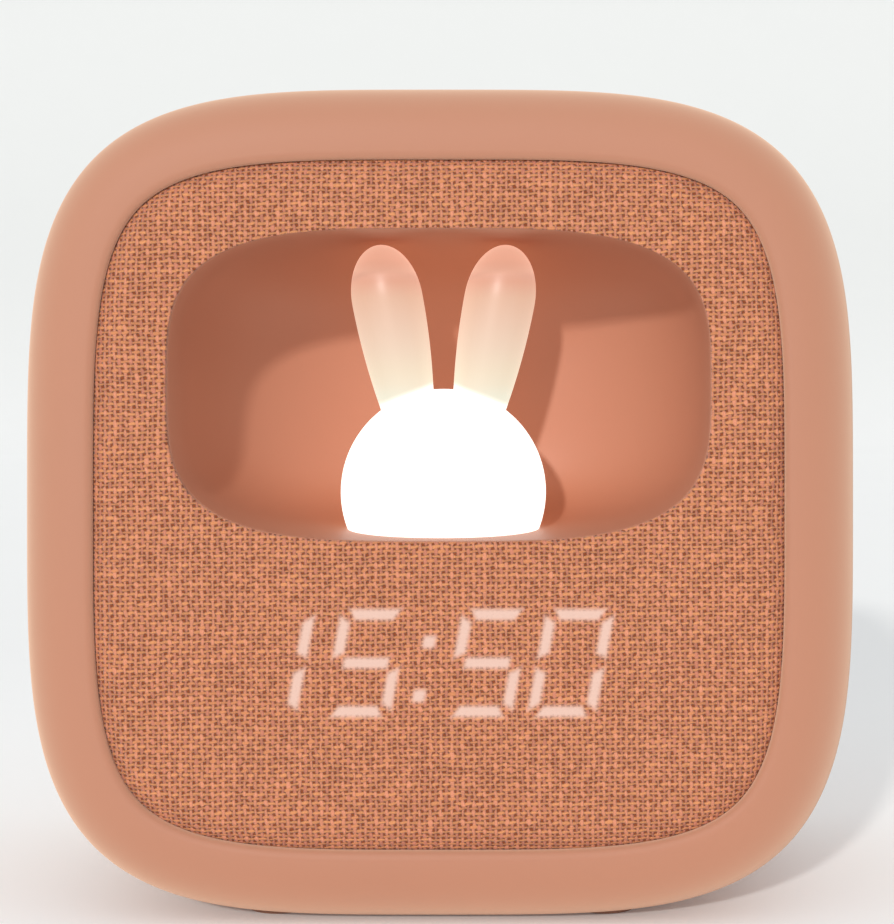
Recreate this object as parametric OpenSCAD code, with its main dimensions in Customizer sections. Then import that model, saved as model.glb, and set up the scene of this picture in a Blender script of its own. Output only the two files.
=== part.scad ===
// Alarm clock for a child's room, with a rabbit night light in a niche and a time display behind cloth.
// Millimetres. X runs to the right, Y from the front to the back, Z up. The origin is on the surface that
// the clock stands on, under the middle of its box. A depth is always counted back from the rim's crest.

/* [Body] */
// Width of the body
body_w = 130; // [120:1:140]
// Height of the body without the feet
body_h = 129.8; // [122:0.1:140]
// Depth of the body from the rim's crest to the back edge
body_depth = 85; // [80:1:100]
// Squareness of the body's outline, where 2 is an oval
outline_power = 3.86; // [3.6:0.02:4.4]
// Wall of the body
body_wall = 2.4; // [2:0.1:2.8]
// How far the feet lift the body
foot_lift = 0.5; // [0.3:0.1:2]

/* [Rim] */
// Width of the rim seen from the front
rim_face = 11.5; // [11:0.5:12]
// Distance of the rim's crest from the outside
rim_crest = 10; // [9.5:0.1:10.3]
// Squareness of the rim's section
rim_power = 2.3; // [2:0.1:2.6]
// Depth by which the rim rolls in from its crest to the cloth
rim_slope = 0.6; // [0.4:0.1:1]
// Depth over which the crest rounds over to the sides
rim_round = 9; // [8:0.5:12]
// Width of the ledge that the front panel rests on
panel_ledge = 3; // [2.5:0.5:4]

/* [Back] */
// Depth over which the sides round over to the back
rear_round = 30; // [24:1:32]
// Width of the body's back edge seen from behind
rear_face = 15; // [13:0.5:17]
// Thickness of the rear cover
cover_t = 2.4; // [2:0.1:3]
// How far the rear cover lies inside the back edge
cover_sink = 1; // [0.8:0.1:2]
// Width of the ledge that the rear cover rests on
cover_ledge = 3; // [2:0.5:4]
// Length of the pillars from the cover to the main board
board_pillar = 10; // [9.5:0.5:12]

/* [Front panel] */
// Depth of the cloth's flat middle behind the rim's crest
cloth_face = 1.2; // [1:0.1:2]
// Thickness of the cloth
cloth_t = 0.7; // [0.5:0.1:0.9]
// Width of the rounded border of the panel
crown_w = 5.6; // [5.2:0.1:6.5]
// Depth of the rounded border of the panel
crown_round = 3.6; // [3.4:0.1:4.5]
// Depth of the whole panel at its border
panel_depth = 6.9; // [6.5:0.1:7.5]
// Thickness of the panel under the cloth
panel_t = 2.2; // [1.8:0.1:2.4]

/* [Niche] */
// Distance of the niche opening from the body's side
niche_side = 22.9; // [22.3:0.1:26]
// Distance of the niche opening from the body's top
niche_above = 22.15; // [21.6:0.05:24]
// Distance of the niche opening from the body's underside
niche_below = 59.2; // [56:0.05:60]
// Squareness of the niche opening
niche_power = 3.53; // [3.2:0.01:3.8]
// Depth of the straight collar behind the cloth
collar_depth = 10; // [9:0.5:11]
// Depth of the bowl behind the collar
bowl_depth = 34; // [33:0.5:35]
// Squareness of the bowl's section at its top and sides
bowl_power = 2.6; // [2.4:0.1:3]
// Squareness of the bowl's section at its floor, which keeps clear of the rabbit's head
floor_power = 5; // [4.5:0.1:6]
// Wall of the niche moulding
niche_wall = 1.6; // [1.2:0.1:1.8]
// Width of the flange behind the panel
niche_flange = 2.5; // [2:0.1:3]

/* [Rabbit lamp] */
// Radius of the rabbit's head
head_r = 16.8; // [16:0.1:17]
// Height of the head's middle over the niche opening's lower edge
head_rise = 6.25; // [6:0.05:7]
// Depth of the head's middle
head_depth = 23; // [23:0.1:24]
// Height of the cut below the head's middle
head_cut = 9.4; // [9:0.1:10]
// Wall of the lamp shade
shade_wall = 1.6; // [1.2:0.1:2]
// Gap between the ears' tips and the top of the niche opening
ear_gap = 1.8; // [1:0.1:5]
// Widest radius of an ear
ear_r = 5.8; // [5:0.1:6]
// Radius of an ear where it leaves the head
ear_root_r = 4.4; // [3.8:0.1:4.5]
// Lean of an ear to the outside
ear_lean = 10.8; // [9:0.1:11]
// Distance of an ear's axis from the middle at the height of the head's middle
ear_offset = 3.2; // [3:0.1:3.6]
// Thickness of the lamp holder
holder_h = 5.5; // [5.4:0.1:6]

/* [Display] */
// Height of a digit between the middles of its upper and lower bars
digit_h = 15.4; // [14:0.1:16]
// Width of a digit between the middles of its upright bars
digit_w = 9.2; // [9:0.1:10]
// Thickness of a bar
bar_t = 1.7; // [1.4:0.1:1.8]
// Gap between two bars at a corner
bar_gap = 0.75; // [0.6:0.05:0.9]
// Lean of the digits
digit_lean = 10.5; // [6:0.5:12]
// Gap between the display's light frame and the lamp holder above it
display_gap = 0.5; // [0.5:0.05:2]
// Depth of the display's light frame
frame_depth = 6.6; // [6:0.1:7]
// Border of the light frame round the digits
frame_border = 1.3; // [1.2:0.1:1.6]

/* [Buttons and sockets] */
// Radius of a push button
button_r = 4.6; // [4:0.1:5]
// Distance between two push buttons
button_pitch = 13; // [12.5:0.5:14]
// Travel of a push button
button_travel = 0.5; // [0.3:0.1:0.8]
// How far a push button stands out of the cover
button_stand = 0.6; // [0.4:0.1:0.7]
// Height of the button row over the body's middle
button_rise = 33; // [32:0.5:34]
// Height of the socket and slide switch over the body's middle
socket_rise = 13; // [12:0.5:14]
// Travel of the alarm slide switch
slide_travel = 3; // [2:0.5:3.5]

/* [Inside] */
// Radius of the speaker
speaker_r = 20; // [18:0.5:20.5]
// Height of the speaker's seat over the ledge of the rear cover
speaker_lift = 0.7; // [0.4:0.1:3]
// Radius of the battery cell
cell_r = 9.2; // [9:0.1:9.5]
// Length of the battery cell
cell_l = 65; // [60:1:68]
// Depth of the battery cell's middle
cell_depth = 36; // [35:0.5:38]
// Thickness of the circuit boards
pcb_t = 1.6; // [1.2:0.1:1.6]
// Radius of a foot
foot_r = 5; // [4:0.1:5.5]
// Distance of a foot from the middle
foot_x = 26; // [24:0.5:30]

/* [Hidden] */
// Gap between two pieces that are seated on each other
seat = 0.1;
// Gap round a piece that drops into a recess
clear = 0.3;
// Running clearance of a push button in its hole
run = 0.1;
outline_steps = 60;
niche_steps = 48;
tube_sides = 8;
half_w = body_w / 2;
half_h = body_h / 2;
mid_z = foot_lift + half_h;

// Rows along the depth of the clock
cloth_edge = rim_face + clear;
crown_inset = cloth_edge + crown_w;
panel_edge_d = cloth_face + panel_depth;
panel_skin = cloth_t + seat;
panel_front = cloth_face + panel_skin;
panel_back = panel_front + panel_t;
ledge_d = panel_edge_d + seat;
ledge_t = 2;
cover_back = body_depth - cover_sink;
cover_front = cover_back - cover_t;
cover_seat_d = cover_front - seat;
cover_inset = rear_face + clear;
rear_start = body_depth - rear_round;
board_back = cover_front - board_pillar;
board_front = board_back - pcb_t;

// The niche and what stands in it
niche_w = body_w - 2 * niche_side;
niche_h = body_h - niche_above - niche_below;
niche_floor = foot_lift + niche_below;
niche_z = niche_floor + niche_h / 2;
bowl_end = cloth_face + collar_depth + bowl_depth + niche_wall;
collar_front = panel_front;
bowl_start = cloth_face + collar_depth;
flange_front = panel_back + clear;
flange_t = 1.7;
head_z = niche_floor + head_rise;
ear_length = (niche_h - head_rise - ear_gap) / cos(ear_lean);
ear_tip_ratio = 1.55;
cut_z = head_z - head_cut;
shade_in_r = sqrt(pow(head_r - shade_wall, 2) - pow(head_cut, 2));
shade_gap = 0.4;
holder_top = cut_z - seat;
holder_floor_t = 2;
holder_bottom = holder_top - holder_h;
holder_half_w = 24;
holder_half_d = 13.5;
holder_screw_x = 20;
holder_boss_r = 2.4;
ring_h = 1.5;
ring_t = 0.7;
ring_gap = 0.2;
lamp_board_r = shade_in_r - ring_gap - ring_t - clear;
lamp_board_z = holder_bottom + holder_floor_t;
lead_hole_r = 2;
lamp_led_ring = 7;
lamp_led_size = [3.5, 2.8, 0.9];

// The display
digit_x = [-25.8, -11.5, 7.3, 20.5];
colon_x = -2;
colon_sink = 0.6;
colon_rise = 4.2;
colon_r = 1;
frame_front = panel_front;
frame_back = frame_front + frame_depth;
lean_run = tan(digit_lean);
lean_reach = lean_run * (digit_h + bar_t) / 2;
frame_x0 = digit_x[0] - digit_w / 2 - bar_t / 2 - lean_reach - frame_border;
frame_x1 = digit_x[3] + digit_w / 2 + bar_t / 2 + lean_reach + frame_border;
frame_half_h = digit_h / 2 + bar_t / 2 + frame_border;
display_z = holder_bottom - display_gap - frame_half_h;
display_screw_l = 3;
board_margin = 4.6;
display_post_r = 2;
display_posts = [
    for (x = [frame_x0 - board_margin / 2, frame_x1 + board_margin / 2], z = [-1, 1])
        [x, display_z + z * (frame_half_h - display_post_r)]
];
display_board_back = frame_back + seat + pcb_t;

// The buttons and what they press
button_names = 5;
button_x = [for (i = [0:button_names - 1]) (i - 2) * button_pitch];
button_z = mid_z + button_rise;
flange_r = button_r + 1.2;
button_flange_t = 1.5;
button_flange_back = cover_front - 0.2;
button_flange_front = button_flange_back - button_flange_t;
stem_r = 1.8;
switch_w = 6;
switch_h = 4;
plunger_r = 1.6;
plunger_out = 1.9;
plunger_in = 1;
plunger_top = board_back + switch_h + plunger_out;

// The slide switch and the charging socket
socket_z = mid_z + socket_rise;
slide_x = 24;
usb_x = -24;
usb_w = 8.9;
usb_h = 3.2;
slide_body = [8.6, 4.4];
slide_body_h = 3.5;
knob_w = 4.6;
knob_h = 3.2;
knob_plate = [14.4, 6.4];
knob_plate_t = 1.4;
knob_stem = 1.8;

// Screws
corner_screw_inset = cover_inset + 5;
panel_screw_inset = cloth_edge + 5.3;
panel_boss_r = 3.4;
screw_r = 1.25;
screw_bite = 2;
pilot_r = screw_r - 0.15;
hole_r = screw_r + 0.25;
head_screw_r = 2.4;
head_screw_t = 1.5;
small_screw_r = 1;
small_pilot_r = small_screw_r - 0.1;
small_hole_r = small_screw_r + 0.2;
small_head_r = 1.9;
small_head_t = 1.2;
small_shank_r = small_pilot_r - 0.05;
shank_r = pilot_r - 0.05;
boss_r = 4;
boss_h = 14;
pillar_r = 2.6;

// The main board
board_gap = 1.5;
board_half_w = oval_point(half_w, half_h, outline_power, 45, corner_screw_inset)[0] - boss_r - board_gap;
board_below = 10;
board_above = 12;
board_low = socket_z - board_below;
board_high = button_z + board_above;
board_post_in = 3;
board_screw_l = 5;
rear_screw_l = 8;
board_posts = [
    for (x = [-1, 1], z = [board_low + board_post_in, board_high - board_post_in])
        [x * (board_half_w - board_post_in), z]
];

// The chips on the main board: width, height, thickness, x, and height over the sockets
controller_spec = [7, 7, 1, 0, 9];
chip_specs = [[5, 4, 1.5, -16, 8], [4, 4, 0.9, 16, 10], [3, 1.6, 1.1, -16, 16]];
crystal_at = [6, 15];
crystal_r = 1.5;
crystal_l = 6.2;

// The speaker
speaker_ring_w = 1;
speaker_z = foot_lift + rear_face + cover_ledge + speaker_lift + speaker_ring_w + speaker_r;
speaker_ring_t = 2;
gasket_t = 0.8;
basket_t = 1.4;
basket_depth = 8;
magnet_r = 11;
magnet_t = 8;
speaker_mouth_r = speaker_r - 4.5;
speaker_screw_ring = speaker_r - 2.2;
speaker_ring_front = cover_front - speaker_ring_t;
gasket_front = speaker_ring_front - seat - gasket_t;
basket_back = gasket_front - seat;
basket_wall = 0.8;
basket_rim_front = basket_back - basket_t;
basket_front = basket_rim_front - basket_depth;
cone_front = basket_front + 2.5;
cone_r = speaker_mouth_r - 1 - basket_wall - clear;
cone_t = 0.6;
grille_r = 0.9;
grille_pitch = 4;
grille_rings = 3;

// The battery and the feet
floor_z = foot_lift + body_wall;
cell_z = floor_z + 4.9 + cell_r;
cradle_half_w = cell_l / 2 + 3;
cradle_half_d = cell_r + 1.8;
foot_h = 2.6;
foot_pad_wall = 1.6;
foot_pad_h = 5;
foot_front_d = ledge_d + ledge_t + 4.1;
foot_rear_d = rear_start + 3;
feet_at = [for (x = [-1, 1], d = [foot_front_d, foot_rear_d]) [x * foot_x, d]];

// Sockets for the leads on the front of the main board: x and height over the board's lower edge
socket_size = [6, 4.2, 4.6];
lead_socket_in = 6.5;
lead_socket_at = [[-24, 6], [-8, 6], [12, 6], [board_half_w - lead_socket_in, 14]];

// The leads, which end just short of what they are fixed to
lead_gap = 0.4;
lamp_lead_r = 0.7;
lead_r = 0.9;
ribbon_r = 1.2;
display_lead_x = 28;
lead_straight = 3;

// Signed power, which gives a superellipse its four quarters
function spow(v, power) = sign(v) * pow(abs(v), power);

// A point of a superellipse at the running angle t, moved inwards by inset along its normal
function oval_point(a, b, power, t, inset) =
    let (nx = spow(cos(t), 2 - 2 / power) / a)
    let (nz = spow(sin(t), 2 - 2 / power) / b)
    let (n = norm([nx, nz]))
    [a * spow(cos(t), 2 / power) - inset * nx / n, b * spow(sin(t), 2 / power) - inset * nz / n];

// The body's outline, moved inwards, round the middle of the body
function body_point(t, inset) =
    let (p = oval_point(half_w, half_h, outline_power, t, inset)) [p[0], mid_z + p[1]];
function body_outline(inset) = [for (k = [0:outline_steps - 1]) body_point(k * 360 / outline_steps, inset)];

// The niche's outline, grown by wall. Its half sizes are scaled by share, and its lower half height by low
function niche_outline(wall, share = 1, low = 1) = [
    for (k = [0:niche_steps - 1])
        let (t = k * 360 / niche_steps)
        let (tall = t > 180 ? low : share)
        let (p = oval_point(niche_w / 2 * share, niche_h / 2 * tall, niche_power, t, -wall))
        [p[0], niche_z + p[1]]
];

// A corner of the body's outline, moved inwards, in the quarter that sx and sz name
function corner(inset, sx, sz) =
    let (p = oval_point(half_w, half_h, outline_power, 45, inset)) [sx * p[0], mid_z + sz * p[1]];
function corners(inset) = [for (sx = [-1, 1], sz = [-1, 1]) corner(inset, sx, sz)];

// The Y of a depth
function at(d) = d - body_depth / 2;
function ring(outline, d) = [for (p = outline) [p[0], at(d), p[1]]];

// The rounded border of the front panel, thinned by t on its outside, from the flat middle to the edge
function crown(t) = [
    for (u = [0:15:90])
        [crown_inset - (crown_w - t) * sin(u), cloth_face + crown_round - (crown_round - t) * cos(u)]
];

// The bowl's section at the turn u from its rim, 0, to its bottom, 90: depth and shares of the opening
bowl_turns = [0, 15, 30, 42, 54, 65, 75, 84];
function bowl_reach(u) = pow(sin(u), 2 / bowl_power);
function bowl_share(u) = pow(cos(u), 2 / bowl_power);
function bowl_low(u) = pow(1 - pow(bowl_reach(u), floor_power), 1 / floor_power);
function bowl_ring(u, wall) = ring(
    niche_outline(wall, bowl_share(u), bowl_low(u)),
    bowl_start + (bowl_depth + wall) * bowl_reach(u)
);

// Points along a smooth curve through the given points
function curve_point(p0, p1, p2, p3, s) =
    (2 * p1 + (p2 - p0) * s + (2 * p0 - 5 * p1 + 4 * p2 - p3) * s * s
        + (3 * p1 - p0 - 3 * p2 + p3) * s * s * s) / 2;
function smooth(p, steps = 3) = [
    for (i = [0:len(p) - 2], s = [0:steps - 1])
        curve_point(p[max(i - 1, 0)], p[i], p[i + 1], p[min(i + 2, len(p) - 1)], s / steps),
    p[len(p) - 1]
];
function reverse(list) = [for (i = [len(list) - 1:-1:0]) list[i]];
function unit(v) = v / norm(v);

// Skin of triangles over rings of equal length; an open one is closed with a face at each end
module skin(rings, looped = false) {
    n = len(rings[0]);
    m = len(rings);
    sides = [
        for (i = [0:m - (looped ? 1 : 2)], k = [0:n - 1])
            let (j = (i + 1) % m)
            let (q = (k + 1) % n)
            each [[i * n + k, i * n + q, j * n + q], [i * n + k, j * n + q, j * n + k]]
    ];
    ends = looped ? [] : [[for (k = [n - 1:-1:0]) k], [for (k = [0:n - 1]) (m - 1) * n + k]];
    polyhedron(points = [for (r = rings) each r], faces = concat(ends, sides));
}

// Round tube along a smooth route given as x, depth and height
module tube(route, r) {
    path = [for (p = smooth(route)) [p[0], at(p[1]), p[2]]];
    last = len(path) - 1;
    skin([
        for (i = [0:last])
            let (ahead = unit(path[min(i + 1, last)] - path[max(i - 1, 0)]))
            let (right = unit(cross(ahead, [0.3, 0.1, 1])))
            let (up = cross(right, ahead))
            [for (k = [0:tube_sides - 1])
                path[i] + r * (cos(k * 360 / tube_sides) * right + sin(k * 360 / tube_sides) * up)]
    ]);
}

// A plate between two depths with the given outline in X and Z
module plate(outline, d0, d1) {
    translate([0, at(d0), 0])
        rotate([-90, 0, 0])
            linear_extrude(d1 - d0) polygon([for (p = outline) [p[0], -p[1]]]);
}

// A block between two depths, with its middle at x and z
module block(size, d0, d1, x = 0, z = 0) {
    translate([x - size[0] / 2, at(d0), z - size[1] / 2]) cube([size[0], d1 - d0, size[1]]);
}

// A round bar between two depths
module rod(r, d0, d1, x = 0, z = 0) {
    translate([x, at(d0), z]) rotate([-90, 0, 0]) cylinder(r = r, h = d1 - d0, $fn = 48);
}

// A turned piece with its axis along Y; the profile's points are radius and depth
module turned(profile, x = 0, z = 0) {
    translate([x, at(0), z]) rotate([-90, 0, 0]) rotate_extrude($fn = 64) polygon(profile);
}

// A bar with round ends between two depths
module stadium(w, h, d0, d1, x, z) {
    block([w - h, h], d0, d1, x, z);
    for (s = [-1, 1]) rod(h / 2, d0, d1, x + s * (w - h) / 2, z);
}

// A screw whose head rests at head_d and whose tip is at tip_d, with a cross recess half as deep as the head
module screw(r, head_r, head_t, head_d, tip_d, spot) {
    way = tip_d > head_d ? 1 : -1;
    top_d = head_d - way * head_t;
    recess_d = head_d - way * head_t / 2;
    long = head_r * 1.2;
    narrow = head_r * 0.3;
    rod(r, min(head_d, tip_d), max(head_d, tip_d), spot[0], spot[1]);
    difference() {
        rod(head_r, min(head_d, top_d), max(head_d, top_d), spot[0], spot[1]);
        for (size = [[long, narrow], [narrow, long]])
            block(size, min(recess_d, top_d), max(recess_d, top_d), spot[0], spot[1]);
    }
}

// Section of the body's wall as inset and depth: the rim, the side and the back, then back inside
function rim_point(u) = [
    rim_crest * (1 - pow(sin(u), 2 / rim_power)), rim_round * (1 - pow(cos(u), 2 / rim_power))
];
function rim_outside() = concat(
    [for (v = [1:-0.5:0.5]) [rim_crest + (rim_face - rim_crest) * v, rim_slope * pow(v, 2)]],
    [for (u = [0:10:90]) rim_point(u)]
);
function rear_outside() = [
    for (u = [0:15:90]) [rear_face * (1 - cos(u)), rear_start + rear_round * sin(u)]
];
function rear_inside() = [
    for (u = [60:-15:0])
        let (n = unit([rear_round * cos(u), -rear_face * sin(u)]))
        [rear_face * (1 - cos(u)), rear_start + rear_round * sin(u)] + body_wall * n
];
function rim_inside() = [
    for (u = [90:-20:30])
        let (n = unit([rim_round * sin(u), rim_crest * cos(u)]))
        rim_point(u) + body_wall * n
];
function body_section() = concat(
    rim_outside(),
    rear_outside(),
    [
        [rear_face, cover_seat_d],
        [rear_face + cover_ledge, cover_seat_d],
        [rear_face + cover_ledge, cover_seat_d - ledge_t]
    ],
    rear_inside(),
    rim_inside(),
    [
        [rim_face - body_wall, rim_slope + body_wall],
        [rim_face - body_wall, ledge_d + ledge_t],
        [rim_face + panel_ledge, ledge_d + ledge_t],
        [rim_face + panel_ledge, ledge_d],
        [rim_face, ledge_d]
    ]
);

module foot_pad(spot) {
    translate([spot[0], at(spot[1]), foot_lift + body_wall / 2])
        cylinder(r = foot_r + foot_pad_wall, h = foot_pad_h - body_wall / 2, $fn = 48);
}

module housing() {
    color("#D99A80") difference() {
        union() {
            skin([for (p = body_section()) ring(body_outline(p[0]), p[1])], looped = true);
            for (c = corners(corner_screw_inset))
                rod(boss_r, cover_seat_d - boss_h, cover_seat_d, c[0], c[1]);
            for (c = corners(panel_screw_inset)) rod(boss_r, ledge_d, ledge_d + ledge_t, c[0], c[1]);
            for (spot = feet_at) foot_pad(spot);
        }
        for (c = corners(corner_screw_inset))
            rod(pilot_r, cover_seat_d - rear_screw_l - 1, body_depth, c[0], c[1]);
        for (c = corners(panel_screw_inset)) rod(hole_r, panel_back, ledge_d + ledge_t + 1, c[0], c[1]);
        for (spot = feet_at)
            translate([spot[0], at(spot[1]), -1])
                cylinder(r = foot_r + seat, h = 1 + foot_h + seat, $fn = 48);
    }
}

module rubber_feet() {
    color("#8A6A5C") for (spot = feet_at)
        translate([spot[0], at(spot[1]), 0]) cylinder(r = foot_r, h = foot_h, $fn = 48);
}

module grille() {
    rod(grille_r, cover_front - speaker_ring_t - 1, cover_back + 1, 0, speaker_z);
    for (i = [1:grille_rings], k = [0:6 * i - 1])
        rod(grille_r, cover_front - speaker_ring_t - 1, cover_back + 1,
            i * grille_pitch * cos(k * 60 / i), speaker_z + i * grille_pitch * sin(k * 60 / i));
}

function speaker_screw_spots() = [
    for (a = [45:90:315]) [speaker_screw_ring * cos(a), speaker_z + speaker_screw_ring * sin(a)]
];

module rear_cover() {
    color("#CE8F76") difference() {
        union() {
            plate(body_outline(cover_inset), cover_front, cover_back);
            for (p = board_posts) rod(pillar_r, board_back, cover_front, p[0], p[1]);
            turned([
                [speaker_mouth_r, speaker_ring_front], [speaker_r + speaker_ring_w, speaker_ring_front],
                [speaker_r + speaker_ring_w, cover_front], [speaker_mouth_r, cover_front]
            ], 0, speaker_z);
        }
        for (c = corners(corner_screw_inset)) {
            rod(hole_r, cover_front - 1, cover_back + 1, c[0], c[1]);
            rod(head_screw_r + seat, cover_back - head_screw_t, cover_back + 1, c[0], c[1]);
        }
        for (x = button_x) rod(button_r + run, cover_front - 1, cover_back + 1, x, button_z);
        for (p = board_posts) rod(small_pilot_r, board_back - 1, board_back + board_screw_l + 1, p[0], p[1]);
        for (p = speaker_screw_spots())
            rod(small_pilot_r, speaker_ring_front - 1, cover_back - 0.8, p[0], p[1]);
        block([knob_w + slide_travel + 2 * clear, knob_h + 2 * clear], cover_front - 1, cover_back + 1,
            slide_x, socket_z);
        stadium(usb_w + 2 * clear, usb_h + 2 * clear, cover_front - 1, cover_back + 1, usb_x, socket_z);
        grille();
    }
}

module front_panel() {
    front = crown(panel_skin);
    back = crown(panel_skin + panel_t);
    edge = cloth_edge + panel_skin;
    section = concat(front, [[edge, panel_edge_d], [edge + panel_t, panel_edge_d]], reverse(back));
    color("#B97A62") difference() {
        union() {
            skin([for (p = section) ring(body_outline(p[0]), p[1])]);
            for (c = corners(panel_screw_inset))
                rod(panel_boss_r, panel_back - 0.3, panel_edge_d, c[0], c[1]);
            for (p = display_posts) rod(display_post_r, panel_back - 1, frame_back, p[0], p[1]);
        }
        plate(niche_outline(niche_wall + clear), 0, panel_edge_d);
        block([frame_x1 - frame_x0 + 2 * clear, 2 * (frame_half_h + clear)], 0, panel_edge_d,
            (frame_x0 + frame_x1) / 2, display_z);
        for (c = corners(panel_screw_inset)) rod(pilot_r, panel_front + 1, panel_edge_d + 1, c[0], c[1]);
        for (p = display_posts) rod(small_pilot_r, panel_front + 1, frame_back + 1, p[0], p[1]);
    }
}

module fabric_cover() {
    section = concat(
        crown(0),
        [[cloth_edge, panel_edge_d], [cloth_edge + cloth_t, panel_edge_d]],
        reverse(crown(cloth_t))
    );
    color("#D98A68") difference() {
        skin([for (p = section) ring(body_outline(p[0]), p[1])]);
        plate(niche_outline(0), 0, panel_edge_d);
    }
}

module lamp_niche() {
    inside = [for (u = reverse(bowl_turns)) bowl_ring(u, 0)];
    outside = [for (u = bowl_turns) bowl_ring(u, niche_wall)];
    flange_back = flange_front + flange_t;
    flange_out = niche_wall + niche_flange;
    collar = [
        ring(niche_outline(0), collar_front),
        ring(niche_outline(niche_wall), collar_front),
        ring(niche_outline(niche_wall), flange_front),
        ring(niche_outline(flange_out), flange_front),
        ring(niche_outline(flange_out), flange_back),
        ring(niche_outline(niche_wall), flange_back)
    ];
    color("#B96E54") difference() {
        union() {
            skin(concat(inside, collar, outside));
            for (s = [-1, 1])
                translate([s * holder_screw_x, at(head_depth), cut_z])
                    cylinder(r = holder_boss_r, h = niche_floor - cut_z - 0.5, $fn = 32);
        }
        translate([0, at(head_depth), head_z]) sphere(r = head_r + shade_gap, $fn = 72);
        for (s = [-1, 1])
            translate([s * holder_screw_x, at(head_depth), cut_z - 1])
                cylinder(r = small_pilot_r, h = niche_floor - cut_z, $fn = 32);
    }
}

// One ear as a turned piece: radius along its axis, from inside the head to the tip
module ear(side) {
    start = head_r - shade_wall * 1.5;
    belly = ear_length - ear_r * ear_tip_ratio;
    root = [
        for (v = [0:0.2:1])
            [ear_root_r + (ear_r - ear_root_r) * (1 - pow(1 - v, 2)), start + (belly - start) * v]
    ];
    tip = [for (u = [15:15:75]) [ear_r * cos(u), belly + (ear_length - belly) * sin(u)]];
    translate([side * ear_offset, at(head_depth), head_z])
        rotate([0, side * ear_lean, 0])
            rotate_extrude($fn = 48) polygon(concat([[0, start]], root, tip, [[0, ear_length]]));
}

// The head as a turned shell: an arc from its cut to its top, at radius r
arc_steps = 16;
function head_arc(r) =
    let (low = -asin(head_cut / r))
    [for (i = [0:arc_steps])
        let (a = low + (90 - low) * i / arc_steps)
        [i == arc_steps ? 0 : r * cos(a), r * sin(a)]];

module rabbit_shade() {
    shell = concat(head_arc(head_r), reverse(head_arc(head_r - shade_wall)));
    color("#FFF3E0") union() {
        translate([0, at(head_depth), head_z]) rotate_extrude($fn = 72) polygon(shell);
        for (side = [-1, 1]) ear(side);
    }
}

module lamp_holder() {
    color("#F2EDE6") difference() {
        union() {
            translate([-holder_half_w, at(head_depth - holder_half_d), holder_bottom])
                cube([2 * holder_half_w, 2 * holder_half_d, holder_h]);
            translate([0, at(head_depth), holder_top - 1])
                cylinder(r = lamp_board_r + clear + ring_t, h = ring_h + 1, $fn = 64);
        }
        translate([0, at(head_depth), lamp_board_z])
            cylinder(r = lamp_board_r + clear, h = holder_h + ring_h, $fn = 64);
        translate([0, at(head_depth), holder_bottom - 1]) cylinder(r = lead_hole_r, h = holder_h, $fn = 32);
        for (s = [-1, 1])
            translate([s * holder_screw_x, at(head_depth), holder_bottom - 1])
                cylinder(r = small_hole_r, h = holder_h + 2, $fn = 32);
    }
}

module holder_screws() {
    color("silver") for (s = [-1, 1]) translate([s * holder_screw_x, at(head_depth), 0]) {
        translate([0, 0, holder_bottom]) cylinder(r = small_shank_r, h = holder_h + seat + 1.5, $fn = 32);
        translate([0, 0, holder_bottom - small_head_t])
            cylinder(r = small_head_r, h = small_head_t, $fn = 32);
    }
}

module lamp_board() {
    color("#F5F5F0") difference() {
        translate([0, at(head_depth), lamp_board_z + seat]) cylinder(r = lamp_board_r, h = pcb_t, $fn = 64);
        translate([0, at(head_depth), lamp_board_z]) cylinder(r = 1.5, h = pcb_t + 1, $fn = 32);
    }
}

module lamp_leds() {
    top = lamp_board_z + seat + pcb_t;
    half = lamp_led_size / 2;
    color("#FFF2B0") for (a = [0:60:300])
        translate([lamp_led_ring * cos(a) - half[0], at(head_depth) + lamp_led_ring * sin(a) - half[1], top])
            cube(lamp_led_size);
}

// The bars of one digit as outlines round its middle: three level bars and four upright ones
function lean(p, x) = [x + p[0] + p[1] * lean_run, display_z + p[1]];
function bar(x, p, half_x, half_z, grow) = [
    for (q = [[-1, -1], [1, -1], [1, 1], [-1, 1]])
        lean([p[0] + q[0] * (half_x + grow), p[1] + q[1] * (half_z + grow)], x)
];
level_half = digit_w / 2 - bar_t / 2 - bar_gap / 2;
upright_half = digit_h / 4 - bar_t / 2 - bar_gap / 2;
function digit_bars(x, grow) = concat(
    [for (z = [-1, 0, 1]) bar(x, [0, z * digit_h / 2], level_half + bar_t / 2, bar_t / 2, grow)],
    [for (sx = [-1, 1], sz = [-1, 1])
        bar(x, [sx * digit_w / 2, sz * digit_h / 4], bar_t / 2, upright_half, grow)]
);
function all_bars(grow) = [for (x = digit_x) each digit_bars(x, grow)];
function colon_spots() = [for (z = [-1, 1]) lean([0, z * colon_rise - colon_sink], colon_x)];

module display_frame() {
    window = 0.08;
    color("#F4F1EC") difference() {
        block([frame_x1 - frame_x0, 2 * frame_half_h], frame_front, frame_back,
            (frame_x0 + frame_x1) / 2, display_z);
        for (outline = all_bars(window)) plate(outline, frame_front - 1, frame_back + 1);
        for (p = colon_spots()) rod(colon_r + window, frame_front - 1, frame_back + 1, p[0], p[1]);
    }
}

module display_segments() {
    color("#FFE9DC") {
        for (outline = all_bars(0)) plate(outline, frame_front, frame_front + 3);
        for (p = colon_spots()) rod(colon_r, frame_front, frame_front + 3, p[0], p[1]);
    }
}

module display_board() {
    low = frame_x0 - board_margin;
    high = frame_x1 + board_margin;
    color("#2F6B45") difference() {
        block([high - low, 2 * frame_half_h], frame_back + seat, display_board_back,
            (low + high) / 2, display_z);
        for (p = display_posts) rod(small_hole_r, frame_back, display_board_back + 1, p[0], p[1]);
    }
}

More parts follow.
